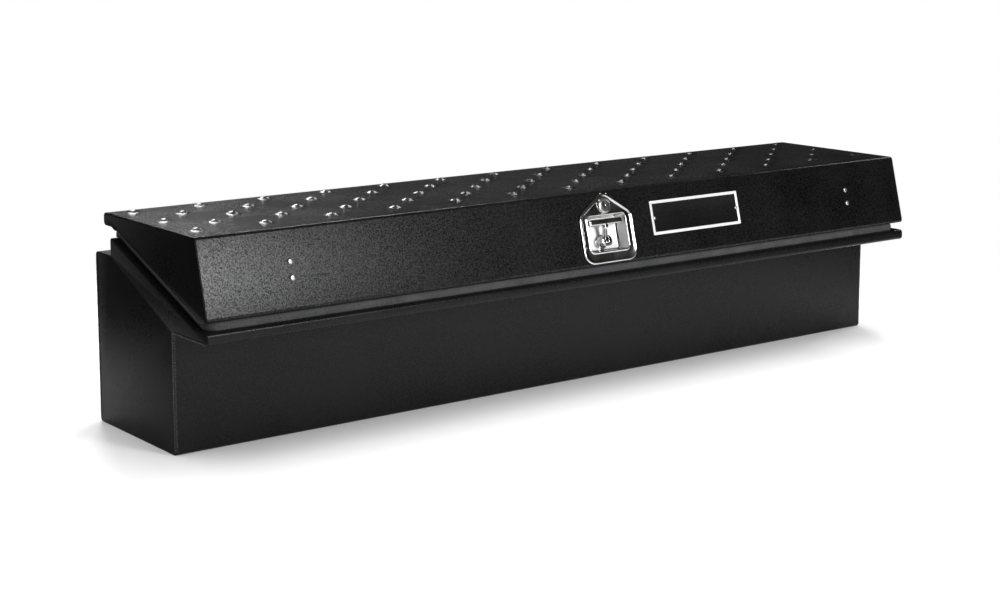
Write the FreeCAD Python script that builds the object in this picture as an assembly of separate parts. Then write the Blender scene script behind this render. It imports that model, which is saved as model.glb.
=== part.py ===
import FreeCAD, Part
import math
import os

# Low side truck toolbox of folded aluminium sheet with a wedge lid, a rear hinge and a T-handle latch.
# Millimetres. X runs along the box, -Y is the latch side, +Z is up.
# The origin is the centre of the outer face of the tub floor.

# Driving dimensions
box_length = 1524.0
tub_depth = 260.0
sheet = 3.0
bend_radius = 4.5

# Rail flange and lip, which hang over the truck's bed rail
rail_height = 191.5
rail_overhang = 105.5
lip_height = 18.5
front_rim_width = 29.5

# Notch along the back, which the lid's rear edge swings into
shelf_height = 282.0
shelf_depth = 54.0
riser_top = 311.0
rear_rim_width = 15.0
end_rim_width = 25.0
rim_end_radius = 14.0
flange_play = 0.2

# Lid
lid_top = 349.5
lid_rear = 97.0
lid_rear_bottom = 329.0
lid_top_front = -203.5
lid_front = -236.0
lid_front_bottom = 224.0
lid_return_width = 20.0
lid_rear_corner = 6.5
lid_flange_rear = 1.4
seal_gap = lid_front_bottom - (rail_height + lip_height)

# Pressed dimples of the lid's top, five staggered rows
dimple_rows = 5
dimple_row_pitch = 53.0
dimple_pitch = 120.65
dimples_in_long_row = 13
dimple_middle = -37.0
dimple_radius = 11.0
dimple_height = 2.4

# Corner weld of the tub, in the edge of the end panel
weld_leg = 2.6
weld_proud = 0.5
weld_crown = 0.9
weld_lap = 0.25
weld_run_out = 1.0

# Foam seal
seal_width = 15.0
seal_squash = 0.3
seal_inset = 10.0
seal_corner_radius = 12.0
seal_crown = 4.5
seal_joint = 632.0
seal_butt = 0.4
rear_seal_width = 12.0
seal_end_gap = 2.0

# Continuous hinge
hinge_length = 1480.0
knuckle_count = 21
knuckle_radius = 4.0
knuckle_gap = 0.5
pin_radius = 2.5
running_fit = 0.05
leaf = 1.5
leaf_drop = 34.0
leaf_clearance = 0.4
hinge_rivet_count = 7
hinge_rivet_end = 30.0
hinge_rivet_radius = 3.0
hinge_rivet_height = 1.2
hinge_rivet_shank = 1.6
tub_rivet_drop = 22.0
lid_rivet_inset = 8.5
pin_overhang = 2.0
lid_sheet_gap = 0.4
return_past_rim = 1.0

# Channel under the lid's top
channel_y = -53.0
channel_crown = 15.0
channel_foot = 32.0
channel_flare = 4.0
channel_drop = 16.0
channel_length = 1380.0
channel_gauge = 2.0
channel_bend = 2.5

# Latch, in the plane of the lid's front: x along it, s down it from the top bend
latch_x = 21.5
latch_width = 119.0
latch_bottom = 124.5
latch_shoulder = 40.0
latch_apex = 0.5
latch_corner_radii = (18.0, 13.0, 17.0, 17.0, 13.0)
gasket = 0.8
pan = 1.2
pan_bead = 1.3
pan_bead_width = 3.6
pocket_bead_width = 2.4
bead_step = 0.3
pocket_s = 73.2
pocket_width = 84.0
pocket_height = 62.0
pocket_depth = 24.0
pocket_corner = 7.0
stud_radius = 2.5
stud_reach = 13.0
stud_weld = 0.2
low_studs = (46.0, 9.0)
high_studs = (37.0, 33.0)
nut_radius = 4.6
nut_height = 4.0

# Lock
lock_s = 25.0
bezel_radius = 14.0
bezel_height = 3.5
lock_body_radius = 9.5
lock_body_reach = 34.0
lock_nut_radius = 14.5
bezel_chamfer = 1.4
bezel_edge = 1.0
lock_hole_play = 0.7
stud_hole_play = 0.3
opening_corner = 2.0
plug_radius = 7.8
keyway_width = 1.8
keyway_height = 9.0
plug_sunk = 0.5
pawl_length = 35.0
pawl_width = 8.0
pawl_tail = 6.0
small_corner = 2.0

# T-handle, spindle and cam
spindle_s = 87.0
handle_pivot_depth = 10.0
handle_span = 74.0
handle_bar_s = 53.5
grip_height = 11.0
grip_depth = 8.0
grip_edge = 2.6
grip_proud = 1.0
grip_end_chamfer = 2.2
grip_end_inset = 1.3
stem_width = 7.6
stem_at_bar = (0.2, 6.2)
stem_at_eye = (5.6, 14.5)
stem_over_eye = 4.0
collar_radius = 5.6
collar_depths = (4.2, 3.4)
collar_drops = (9.5, 4.5)
eye_radius = 6.0
turn_angle = 45.0
clevis_radius = 11.0
clevis_front = 3.5
clevis_slot = 8.2
clevis_floor = 3.0
clevis_cheek = 8.0
base_gap = 0.4
pin_short = 0.6
journal_radius = 5.0
square_width = 7.0
tail_radius = 3.4
tail_length = 6.5
bush_radius = 9.0
bush_flange_radius = 13.0
bush_flange = 2.4
bush_chamfer = 1.2
bush_reach = 34.0
cam_depth = 35.0
cam_thickness = 4.0
cam_arm = 22.0
cam_hub_radius = 12.0
cam_end_radius = 7.5
cam_pin_radius = 3.0
cam_pin_reach = 5.0
cam_lug_width = 6.0
cam_lug_reach = 9.0
cam_nut_radius = 6.9
cam_nut_height = 5.0

# Latch rods, their guides and strikes
rod_radius = 4.0
rod_s = 64.5
rod_depth = 41.0
rod_tip_gap = 0.5
rod_tip_chamfer = 1.5
rod_start = 11.0
rod_crank = (30.0, 85.0)
rod_crank_radius = 18.0
yoke_depth = 39.6
yoke_thickness = 2.8
yoke_reach = 30.0
yoke_near = 13.0
yoke_play = (3.6, 4.8)
yoke_overlap = 3.0
yoke_past_pin = 9.0
guide_left_x = -606.0
guide_right_x = 617.0
guide_width = 24.0
guide_height = 44.0
guide_corner = 4.0
guide_wall_past_rod = 12.0
guide_wall_half = 14.0
guide_wall_corner = 8.0
guide_bore_play = 0.3
guide_rivet_pitch = 25.0
guide_rivet_radius = 4.9
guide_rivet_height = 2.2
guide_rivet_shank = 2.4
strike_x = 731.0
strike_width = 40.0
strike_rise = 16.0
strike_corner = 9.0
strike_bore_play = 1.0

# Gas springs, in the hinge's own frame: forward of it and above it
strut_x = 715.0
strut_tub_forward = 130.0
strut_tub_up = -150.0
strut_lid_forward = 60.0
strut_lid_up = 8.0
strut_tube_radius = 9.0
strut_rod_radius = 4.0
strut_stud_radius = 4.0
strut_eye_radius = 8.0
strut_eye_width = 10.0
strut_tube_start = 34.0
strut_neck = 24.0
strut_rod_inside = 15.0
bracket_size = 40.0
bracket_corner = 6.0
lid_bracket_half = 14.0
lid_bracket_corner = 9.0
lid_bracket_foot = 24.0
lid_bracket_clear = 2.0
stud_head_radius = 6.5
stud_head = 2.4
stud_end_gap = 0.5
head_gap = 0.4
tube_chamfer = 2.0
tube_bore_play = 0.1
tube_bore_over = 6.0
rod_eye_extra = 0.5

# Name plate, left bare
plate_x = 229.5
plate_s = 58.5
plate_length = 210.0
plate_height = 60.0
plate_border = 3.5
plate_sheet = 1.0
plate_sunk = 0.3
plate_corner = 0.8
plate_rivet_inset = 7.0
plate_rivet_radius = 3.0
plate_rivet_height = 1.5
plate_rivet_shank = 1.6

# Sides of the round pieces that are drawn with flats, few on those that repeat
fine_sides = 16
medium_sides = 12
small_sides = 10
rivet_sides = 8
knuckle_sides = 8
nut_sides = 6
repeat_sides = 6
dimple_sides = 6

# Middle point of a rounded corner drawn with two flats, as a share of its size
corner_step = 0.3

# How far a cutting tool runs past what it cuts, and half the length of one that goes right through
past = 1.0
through = 20.0

# Tail of a blind rivet: its length, its widths as shares of the shank's, and the flat on top of the head
rivet_tail = 3.0
rivet_swell = 1.45
rivet_end = 1.1
rivet_crown = 0.62

# Values worked out from the dimensions above
half = box_length / 2
inner_half = half - sheet
tub_front = -tub_depth / 2
tub_back = tub_depth / 2
lip_front = tub_front - rail_overhang
rim_front_top = rail_height + lip_height
riser = tub_back - shelf_depth
slope_front = lip_front + front_rim_width
slope_rear = riser - rear_rim_width
slope = (riser_top - rim_front_top) / (slope_rear - slope_front)
lid_slope_rear = slope_front + (lid_rear_bottom - lid_front_bottom) / slope
seal_height = seal_gap - seal_squash
hinge_y = riser + knuckle_radius + leaf_clearance
hinge_z = lid_rear_bottom - knuckle_radius - leaf_clearance
face_tilt = math.degrees(math.atan2(lid_top_front - lid_front, lid_top - lid_front_bottom))
outer_bend = bend_radius + sheet / 2
inner_bend = bend_radius - sheet / 2
cam_half_turn = math.radians(turn_angle / 2)
cam_far = cam_depth + cam_thickness
tub_rivet_z = hinge_z - tub_rivet_drop
lid_rivet_y = lid_rear - lid_rivet_inset
seal_line_y = lip_front + seal_inset + seal_width / 2
seal_line_x = half - seal_inset - seal_width / 2
leaf_room = knuckle_radius + knuckle_gap
strut_foot = FreeCAD.Vector(strut_x, hinge_y - strut_tub_forward, hinge_z + strut_tub_up)
strut_head = FreeCAD.Vector(strut_x, hinge_y - strut_lid_forward, hinge_z + strut_lid_up)
strut_length = (strut_head - strut_foot).Length
strut_way = (strut_head - strut_foot).normalize()
eye_half = strut_eye_width / 2


def vec(x, y, z):
    return FreeCAD.Vector(x, y, z)


def in_yz(x):
    """Map a point of a side profile to the plane at x."""
    return lambda y, z: vec(x, y, z)


def on_front(depth):
    """Map x and s of the lid's front plane to the latch frame, at a depth behind the sheet's outer face."""
    return lambda x, s: vec(x, depth, -s)


def unit(a, b):
    length = math.hypot(b[0] - a[0], b[1] - a[1])
    return ((b[0] - a[0]) / length, (b[1] - a[1]) / length)


def bend(before, corner, after, radius):
    """Start, middle, end, centre and turn of the arc that rounds a corner."""
    d0 = unit(before, corner)
    d1 = unit(corner, after)
    turn = math.atan2(d0[0] * d1[1] - d0[1] * d1[0], d0[0] * d1[0] + d0[1] * d1[1])
    trim = radius * math.tan(abs(turn) / 2)
    start = (corner[0] - d0[0] * trim, corner[1] - d0[1] * trim)
    end = (corner[0] + d1[0] * trim, corner[1] + d1[1] * trim)
    sign = 1 if turn > 0 else -1
    centre = (start[0] - d0[1] * radius * sign, start[1] + d0[0] * radius * sign)
    out = unit(centre, corner)
    middle = (centre[0] + out[0] * radius, centre[1] + out[1] * radius)
    return start, middle, end, centre, sign


def rounded_outline(corners, radii, place):
    """Closed face through the corners, each rounded by its own radius."""
    count = len(corners)
    edges = []
    arcs = []
    for i in range(count):
        radius = radii[i]
        if radius:
            start, middle, end, _, _ = bend(corners[i - 1], corners[i], corners[(i + 1) % count], radius)
            arcs.append((start, middle, end))
        else:
            arcs.append((corners[i], None, corners[i]))
    for i in range(count):
        start, middle, end = arcs[i]
        if middle:
            edges.append(Part.Arc(place(*start), place(*middle), place(*end)).toShape())
        following = arcs[(i + 1) % count][0]
        if math.hypot(following[0] - end[0], following[1] - end[1]) > 1e-6:
            edges.append(Part.LineSegment(place(*end), place(*following)).toShape())
    return Part.Face(Part.Wire(edges))


def shifted(points, distance):
    """Open line of points moved to its left by a distance."""
    moved = []
    for i, point in enumerate(points):
        before = unit(points[i - 1], point) if i else unit(point, points[1])
        after = unit(point, points[i + 1]) if i < len(points) - 1 else before
        n0 = (-before[1], before[0])
        n1 = (-after[1], after[0])
        scale = distance / (1 + n0[0] * n1[0] + n0[1] * n1[1])
        moved.append((point[0] + (n0[0] + n1[0]) * scale, point[1] + (n0[1] + n1[1]) * scale))
    return moved


def folded_sheet(outer, side, x0, x1, thickness=sheet, radius=bend_radius):
    """Bent sheet whose outer face follows the points; side is 1 where the metal is to their left."""
    middle_line = shifted(outer, side * thickness / 2)
    faces = []
    for offset in (thickness / 2, -thickness / 2):
        run = []
        for i in range(1, len(middle_line) - 1):
            start, middle, end, centre, sign = bend(*middle_line[i - 1:i + 2], radius)
            run.append([move_from(centre, p, -sign * offset) for p in (start, middle, end)])
        first = shifted(middle_line[:2], offset)[0]
        last = shifted(middle_line[-2:], offset)[1]
        faces.append((first, run, last))
    place = in_yz(x0)
    edges = []
    for first, run, last in faces:
        here = first
        for start, middle, end in run:
            edges.append(Part.LineSegment(place(*here), place(*start)).toShape())
            edges.append(Part.Arc(place(*start), place(*middle), place(*end)).toShape())
            here = end
        edges.append(Part.LineSegment(place(*here), place(*last)).toShape())
    edges.append(Part.LineSegment(place(*faces[0][0]), place(*faces[1][0])).toShape())
    edges.append(Part.LineSegment(place(*faces[0][2]), place(*faces[1][2])).toShape())
    wire = Part.Wire(Part.__sortEdges__(edges))
    return Part.Face(wire).extrude(vec(x1 - x0, 0, 0))


def move_from(centre, point, distance):
    """Point moved away from a centre by a distance."""
    d = unit(centre, point)
    return (point[0] + d[0] * distance, point[1] + d[1] * distance)


def box(x0, x1, y0, y1, z0, z1):
    return Part.makeBox(x1 - x0, y1 - y0, z1 - z0, vec(x0, y0, z0))


def banded(rings):
    """Closed solid through rings of points that are alike in number and order."""
    faces = [flat(rings[0][::-1]), flat(rings[-1])]
    for low, high in zip(rings, rings[1:]):
        for k in range(len(low)):
            faces.append(flat([low[k - 1], low[k], high[k], high[k - 1]]))
    solid = Part.Solid(Part.Shell(faces))
    return solid if solid.Volume > 0 else solid.reversed()


def flat(points):
    return Part.Face(Part.makePolygon(points + points[:1]))


def turned(stations, sides, centre, axis):
    """Flat-sided turned piece: each station is a radius and a height along the axis."""
    turn = FreeCAD.Rotation(vec(0, 0, 1), axis)
    rings = []
    for radius, height in stations:
        ring = []
        for k in range(sides):
            angle = 2 * math.pi * k / sides
            point = vec(radius * math.cos(angle), radius * math.sin(angle), height)
            ring.append(centre + turn.multVec(point))
        rings.append(ring)
    return banded(rings)


def rod(radius, start, end, sides=0):
    """Round bar from one point to another, with flats where a number of sides is given."""
    length = (end - start).Length
    if sides:
        return turned([(radius, 0), (radius, length)], sides, start, end - start)
    return Part.makeCylinder(radius, length, start, end - start)


def bore(radius, start, end, sides):
    """Tool for a hole whose flats all clear the radius."""
    return rod(radius / math.cos(math.pi / sides), start, end, sides)


def plug(x, s, radius, depth0, depth1, sides=0):
    """Round bar square to the lid's front, from one depth to another."""
    return rod(radius, vec(x, depth0, -s), vec(x, depth1, -s), sides)


def plug_hole(x, s, radius, depth0, depth1, sides):
    return plug(x, s, radius / math.cos(math.pi / sides), depth0, depth1, sides)


def joined(shapes):
    return shapes[0].multiFuse(shapes[1:]).removeSplitter()


def on_lid_front(shape):
    """Move a shape from the latch frame to its place on the sloping front of the lid."""
    turn = FreeCAD.Rotation(vec(1, 0, 0), -face_tilt)
    placed = shape.copy()
    placed.Placement = FreeCAD.Placement(vec(0, lid_top_front, lid_top), turn)
    return placed


def face_point(x, depth, s):
    """Box frame point of a place given in the latch frame."""
    turn = FreeCAD.Rotation(vec(1, 0, 0), -face_tilt)
    return FreeCAD.Placement(vec(0, lid_top_front, lid_top), turn).multVec(vec(x, depth, -s))


def mirrored(shape):
    return shape.mirror(vec(0, 0, 0), vec(1, 0, 0))


def blind_rivet(radius, height, shank, grip, sides, centre, axis):
    """Domed head on the axis side, and a shank with a swelled tail on the other."""
    stations = [(shank * rivet_end, -grip - rivet_tail), (shank * rivet_swell, -grip), (shank, -grip),
                (shank, 0), (radius, 0), (radius * rivet_crown, height)]
    return turned(stations, sides, centre, axis)


def clipped(y0, y1, z0, z1, cut, place):
    """Plate outline with its corners cut off."""
    points = [(y0 + cut, z0), (y1 - cut, z0), (y1, z0 + cut), (y1, z1 - cut), (y1 - cut, z1), (y0 + cut, z1),
              (y0, z1 - cut), (y0, z0 + cut)]
    return flat([place(*p) for p in points])


def rim(y):
    """Height of the tub's sloping rim at y."""
    return rim_front_top + (y - slope_front) * slope


# Tub


def tub_profile():
    return [
        (slope_front, rim_front_top),
        (lip_front, rim_front_top),
        (lip_front, rail_height),
        (tub_front, rail_height),
        (tub_front, 0),
        (tub_back, 0),
        (tub_back, shelf_height),
        (riser, shelf_height),
        (riser, riser_top),
        (slope_rear, riser_top),
    ]


def corner_path(corners):
    """Line along an edge of the right-hand end panel, rounded at its corners as the panel is."""
    place = in_yz(half)
    edges = []
    here = corners[0]
    for i in range(1, len(corners) - 1):
        start, middle, end, _, _ = bend(*corners[i - 1:i + 2], inner_bend)
        edges.append(Part.LineSegment(place(*here), place(*start)).toShape())
        edges.append(Part.Arc(place(*start), place(*middle), place(*end)).toShape())
        here = end
    edges.append(Part.LineSegment(place(*here), place(*corners[-1])).toShape())
    return Part.Wire(edges)


def weld_section(start, outward, profile):
    """Section across the weld; each point of the profile is measured along X and outward."""
    points = [vec(half + x, start[0], start[1]) + outward * out for x, out in profile]
    return Part.makePolygon(points + points[:1])


def weld_bead(corners, outward):
    """Crowned bead that fills the bevel, and the tool that cuts the bevel."""
    bead = [(-weld_leg, 0), (0, -weld_leg), (weld_proud, -weld_crown), (weld_lap, weld_lap),
            (-weld_crown, weld_proud)]
    tool = [(-weld_leg, 0), (0, -weld_leg), (past, -weld_leg - past), (past, past),
            (-weld_leg - past, past)]
    path = corner_path(corners)
    return [path.makePipeShell([weld_section(corners[0], outward, profile)], True, False)
            for profile in (bead, tool)]


def corner_weld():
    """Beads of the right-hand joint, under the rail flange and down the front, and up the back."""
    low = outer_bend - weld_run_out
    front = weld_bead([(lip_front + outer_bend, rail_height), (tub_front, rail_height), (tub_front, low)],
                      vec(0, 0, -1))
    back = weld_bead([(tub_back, outer_bend), (tub_back, shelf_height - outer_bend)], vec(0, 1, 0))
    return [Part.makeCompound(pair) for pair in zip(front, back)]


def tub_end():
    """Right-hand end panel with the flange that is turned in along its sloping edge."""
    corners = tub_profile()
    radii = [rim_end_radius, outer_bend, outer_bend, inner_bend, outer_bend]
    radii += [outer_bend, outer_bend, inner_bend, outer_bend, rim_end_radius]
    panel = rounded_outline(corners, radii, in_yz(inner_half)).extrude(vec(sheet, 0, 0))
    y0 = slope_front + flange_play
    y1 = slope_rear - flange_play
    strip = [(y0, rim(y0) - sheet), (y1, rim(y1) - sheet), (y1, rim(y1)), (y0, rim(y0))]
    flange = rounded_outline(strip, [0, 0, 0, 0], in_yz(half - end_rim_width))
    return joined([panel, flange.extrude(vec(end_rim_width - sheet / 2, 0, 0))])


# Seal


def seal_profile(width, height, place):
    """Foam strip with a crowned top."""
    w = width / 2
    points = [(-w, 0), (w, 0), (w, height - seal_crown), (w - seal_crown, height), (seal_crown - w, height),
              (-w, height - seal_crown)]
    return flat([place(*p) for p in points])


def seal_front():
    place = lambda a, z: vec(-seal_joint, seal_line_y + a, rim_front_top + z)
    face = seal_profile(seal_width, seal_height, place)
    return face.extrude(vec(2 * seal_joint, 0, 0))


def seal_end():
    """Right-hand length: off the front, round the corner and up the slope to the hinge side."""
    turn_x = seal_line_x - seal_corner_radius
    face = seal_profile(seal_width, seal_height, lambda a, z: vec(turn_x, seal_line_y + a, rim_front_top + z))
    front = face.extrude(vec(seal_joint + seal_butt - turn_x, 0, 0))
    axis = vec(turn_x, seal_line_y + seal_corner_radius, 0)
    corner = face.revolve(axis, vec(0, 0, 1), 90)
    y0 = axis.y
    rise = seal_profile(seal_width, seal_height, lambda a, z: vec(seal_line_x + a, y0, rim_front_top + z))
    runs = [front, corner]
    if slope_front > y0:
        runs.append(rise.extrude(vec(0, slope_front - y0, 0)))
        y0 = slope_front
        rise.translate(vec(0, y0 - axis.y, 0))
    rise.translate(vec(0, 0, rim(y0) - rim_front_top))
    runs.append(rise.extrude(vec(0, slope_rear - y0, riser_top - rim(y0))))
    rise.translate(vec(0, slope_rear - y0, riser_top - rim(y0)))
    runs.append(rise.extrude(vec(0, rear_rim_width - seal_end_gap, 0)))
    return joined(runs)


def seal_rear():
    reach = seal_line_x - seal_width / 2 - seal_butt
    height = lid_rear_bottom - riser_top - seal_squash
    middle = (riser + slope_rear) / 2
    face = seal_profile(rear_seal_width, height, lambda a, z: vec(-reach, middle + a, riser_top + z))
    return face.extrude(vec(2 * reach, 0, 0))


# Hinge


def knuckle_spans(first):
    """Start and end of every second knuckle along the hinge."""
    pitch = hinge_length / knuckle_count
    spans = []
    for i in range(first, knuckle_count, 2):
        start = -hinge_length / 2 + i * pitch
        spans.append((start + knuckle_gap / 2, start + pitch - knuckle_gap / 2))
    return spans


def knuckle(x0, x1):
    return rod(knuckle_radius, vec(x0, hinge_y, hinge_z), vec(x1, hinge_y, hinge_z), knuckle_sides)


def pin_bore():
    reach = hinge_length / 2 + past
    ends = [vec(x, hinge_y, hinge_z) for x in (-reach, reach)]
    return bore(pin_radius + running_fit, ends[0], ends[1], repeat_sides)


def hinge_rivet_places():
    step = (hinge_length - 2 * hinge_rivet_end) / (hinge_rivet_count - 1)
    return [-hinge_length / 2 + hinge_rivet_end + i * step for i in range(hinge_rivet_count)]


def hinge_leaf_tub():
    """Leaf on the riser, cut back between its knuckles for those of the lid."""
    top = hinge_z - leaf_room
    bottom = hinge_z - leaf_drop
    shapes = [box(-hinge_length / 2, hinge_length / 2, riser, riser + leaf, bottom, top)]
    for x0, x1 in knuckle_spans(0):
        shapes.append(box(x0, x1, riser, riser + leaf, top, hinge_z))
        shapes.append(knuckle(x0, x1))
    return joined(shapes).cut(pin_bore()).cut(tub_rivet_holes(riser - past, riser + leaf + past))


def hinge_leaf_lid():
    """Leaf under the lid's rear return, cut back in the same way."""
    front = hinge_y + leaf_room
    top = lid_rear_bottom
    shapes = [box(-hinge_length / 2, hinge_length / 2, front, lid_rear - past, top - leaf, top)]
    for x0, x1 in knuckle_spans(1):
        shapes.append(box(x0, x1, hinge_y, front, top - leaf, top))
        shapes.append(knuckle(x0, x1))
    return joined(shapes).cut(pin_bore()).cut(lid_rivet_holes(top - leaf - past, top + past))


def tub_rivet_holes(y0, y1):
    return Part.makeCompound([
        rod(hinge_rivet_shank, vec(x, y0, tub_rivet_z), vec(x, y1, tub_rivet_z), repeat_sides)
        for x in hinge_rivet_places()])


def lid_rivet_holes(z0, z1):
    return Part.makeCompound([
        rod(hinge_rivet_shank, vec(x, lid_rivet_y, z0), vec(x, lid_rivet_y, z1), repeat_sides)
        for x in hinge_rivet_places()])


def hinge_rivet(centre, axis):
    """Low head and a plain shank through the leaf and the sheet."""
    stations = [(hinge_rivet_shank, -leaf - sheet - rivet_tail), (hinge_rivet_shank, 0),
                (hinge_rivet_radius, 0), (hinge_rivet_radius * rivet_crown, hinge_rivet_height)]
    return turned(stations, repeat_sides, centre, axis)


def hinge_rivets_tub():
    return Part.makeCompound([
        hinge_rivet(vec(x, riser + leaf, tub_rivet_z), vec(0, 1, 0))
        for x in hinge_rivet_places()])


def hinge_rivets_lid():
    return Part.makeCompound([
        hinge_rivet(vec(x, lid_rivet_y, lid_rear_bottom - leaf), vec(0, 0, -1))
        for x in hinge_rivet_places()])


def hinge_pin():
    reach = hinge_length / 2 + pin_overhang
    return rod(pin_radius, vec(-reach, hinge_y, hinge_z), vec(reach, hinge_y, hinge_z))


# Lid


def lid_wrap():
    outer = [
        (slope_front - lid_sheet_gap, lid_front_bottom),
        (lid_front, lid_front_bottom),
        (lid_top_front, lid_top),
        (lid_rear, lid_top),
        (lid_rear, lid_rear_bottom),
        (slope_rear - return_past_rim, lid_rear_bottom),
    ]
    shape = folded_sheet(outer, -1, -inner_half, inner_half)
    shape = shape.multiFuse(dimples())
    shape = shape.cut(lid_rivet_holes(lid_rear_bottom - past, lid_rear_bottom + sheet + past))
    cuts = latch_holes(-past, sheet + past, pan + past)
    for x, s in guide_rivet_places():
        cuts.append(plug(x, s, guide_rivet_shank, -past, sheet + past, rivet_sides))
    for x, s in plate_rivet_places():
        cuts.append(plug(x, s, plate_rivet_shank, -past, sheet + past, rivet_sides))
    return shape.cut(on_lid_front(Part.makeCompound(cuts)))


def dimples():
    """Low domes, as flat-sided frusta, that stand a little way into the sheet."""
    caps = []
    sunk = 0.2
    stations = [(dimple_radius, -sunk), (dimple_radius * 0.5, dimple_height)]
    for row in range(dimple_rows):
        y = dimple_middle + (row - (dimple_rows - 1) / 2) * dimple_row_pitch
        count = dimples_in_long_row - row % 2
        for i in range(count):
            x = (i - (count - 1) / 2) * dimple_pitch
            caps.append(turned(stations, dimple_sides, vec(x, y, lid_top), vec(0, 0, 1)))
    return caps


def lid_end():
    """Right-hand end of the lid with the flange turned in over the seal."""
    corners = [
        (slope_front, lid_front_bottom),
        (lid_front, lid_front_bottom),
        (lid_top_front, lid_top),
        (lid_rear, lid_top),
        (lid_rear, lid_rear_bottom),
        (lid_slope_rear, lid_rear_bottom),
    ]
    radii = [rim_end_radius, outer_bend, outer_bend, lid_rear_corner, lid_rear_corner, rim_end_radius]
    panel = rounded_outline(corners, radii, in_yz(inner_half)).extrude(vec(sheet, 0, 0))
    y0 = slope_front + flange_play
    y1 = slope_rear - lid_flange_rear
    low0 = rim(y0) + seal_gap
    low1 = rim(y1) + seal_gap
    strip = [(y0, low0), (y1, low1), (y1, low1 + sheet), (y0, low0 + sheet)]
    flange = rounded_outline(strip, [0, 0, 0, 0], in_yz(half - lid_return_width))
    return joined([panel, flange.extrude(vec(lid_return_width - sheet / 2, 0, 0))])


def lid_stiffener():
    """Hat channel under the middle of the lid's top."""
    under = lid_top - sheet
    low = under - channel_drop
    wide = channel_crown + channel_flare
    outer = [(channel_y - channel_foot, under), (channel_y - wide, under), (channel_y - channel_crown, low),
             (channel_y + channel_crown, low), (channel_y + wide, under), (channel_y + channel_foot, under)]
    reach = channel_length / 2
    return folded_sheet(outer, -1, -reach, reach, channel_gauge, channel_bend)


# Latch dish and lock


def latch_outline(inset, depth):
    """House shape of the dish; the slanted edges move in by the inset too."""
    left = latch_x - latch_width / 2 + inset
    right = latch_x + latch_width / 2 - inset
    low = latch_bottom - inset
    roof = unit((latch_x, latch_apex), (latch_x + latch_width / 2, latch_shoulder))
    apex = latch_apex + inset / roof[0]
    shoulder = latch_shoulder + inset * (1 - roof[1]) / roof[0]
    corners = [(latch_x, apex), (right, shoulder), (right, low), (left, low), (left, shoulder)]
    radii = [radius - inset for radius in latch_corner_radii]
    return rounded_outline(corners, radii, on_front(depth))


def pocket_block(grow, depth0, depth1):
    w = pocket_width / 2 + grow
    h = pocket_height / 2 + grow
    corners = [(latch_x - w, pocket_s - h), (latch_x + w, pocket_s - h), (latch_x + w, pocket_s + h),
               (latch_x - w, pocket_s + h)]
    face = rounded_outline(corners, [pocket_corner + grow] * 4, on_front(depth0))
    return face.extrude(vec(0, depth1 - depth0, 0))


def stud_places():
    low_x, inset = low_studs
    high_x, high_s = high_studs
    low_s = latch_bottom - inset
    pairs = ((low_x, low_s), (high_x, high_s))
    return [(latch_x + side * x, s) for x, s in pairs for side in (-1, 1)]


def latch_holes(depth0, depth1, grow):
    """Tools for the openings that the dish needs in what lies behind its flange."""
    w = pocket_width / 2 + grow
    h = pocket_height / 2 + grow
    place = on_front(depth0)
    opening = clipped(latch_x - w, latch_x + w, pocket_s - h, pocket_s + h, opening_corner, place)
    tools = [opening.extrude(vec(0, depth1 - depth0, 0))]
    tools.append(plug_hole(latch_x, lock_s, lock_body_radius + lock_hole_play, depth0, depth1, medium_sides))
    for x, s in stud_places():
        tools.append(plug_hole(x, s, stud_radius + stud_hole_play, depth0, depth1, repeat_sides))
    return tools


def latch_gasket():
    shape = latch_outline(0, -gasket).extrude(vec(0, gasket, 0))
    return shape.cut(Part.makeCompound(latch_holes(-gasket - past, past, pan + past)))


def latch_dish():
    """Pressed pan: flange with a raised bead round its edge and round the pocket, and mounting studs."""
    back = -gasket
    front = back - pan
    proud = front - pan_bead
    plate = latch_outline(0, proud).extrude(vec(0, back - proud, 0))
    hollow = latch_outline(pan_bead_width, proud - past).extrude(vec(0, front - proud + past, 0))
    shape = plate.cut(hollow)
    walls = pocket_block(pan, back, pocket_depth)
    bead = pocket_block(pocket_bead_width, proud + bead_step, back)
    studs = [plug(x, s, stud_radius, back - stud_weld, stud_reach, repeat_sides) for x, s in stud_places()]
    shape = joined([shape, walls, bead] + studs)
    shape = shape.cut(pocket_block(0, proud - past, pocket_depth - pan))
    floor = pocket_depth - pan
    holes = [plug(latch_x, lock_s, lock_body_radius, proud - past, past, fine_sides),
             plug(latch_x, spindle_s, bush_radius, floor - past, pocket_depth + past, fine_sides)]
    return shape.cut(Part.makeCompound(holes))


def hexagon_nut(x, s, radius, hole, hole_sides, depth0, depth1):
    nut = plug(x, s, radius, depth0, depth1, nut_sides)
    return nut.cut(plug(x, s, hole, depth0 - past, depth1 + past, hole_sides))


def latch_nuts():
    return Part.makeCompound([
        hexagon_nut(x, s, nut_radius, stud_radius, repeat_sides, sheet, sheet + nut_height)
        for x, s in stud_places()])


def lock_housing():
    """Round bezel, a body through the dish and the sheet, and the nut that clamps it."""
    front = -gasket - pan
    stations = [(bezel_radius - bezel_chamfer, front - bezel_height), (bezel_radius, front - bezel_edge),
                (bezel_radius, front), (lock_body_radius, front), (lock_body_radius, lock_body_reach)]
    body = turned(stations, fine_sides, vec(latch_x, 0, -lock_s), vec(0, 1, 0))
    nut = plug(latch_x, lock_s, lock_nut_radius, sheet, sheet + nut_height, nut_sides)
    near = front - bezel_height - past
    far = lock_body_reach + past
    hole = plug_hole(latch_x, lock_s, plug_radius + running_fit, near, far, fine_sides)
    return joined([body, nut]).cut(hole)


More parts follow.
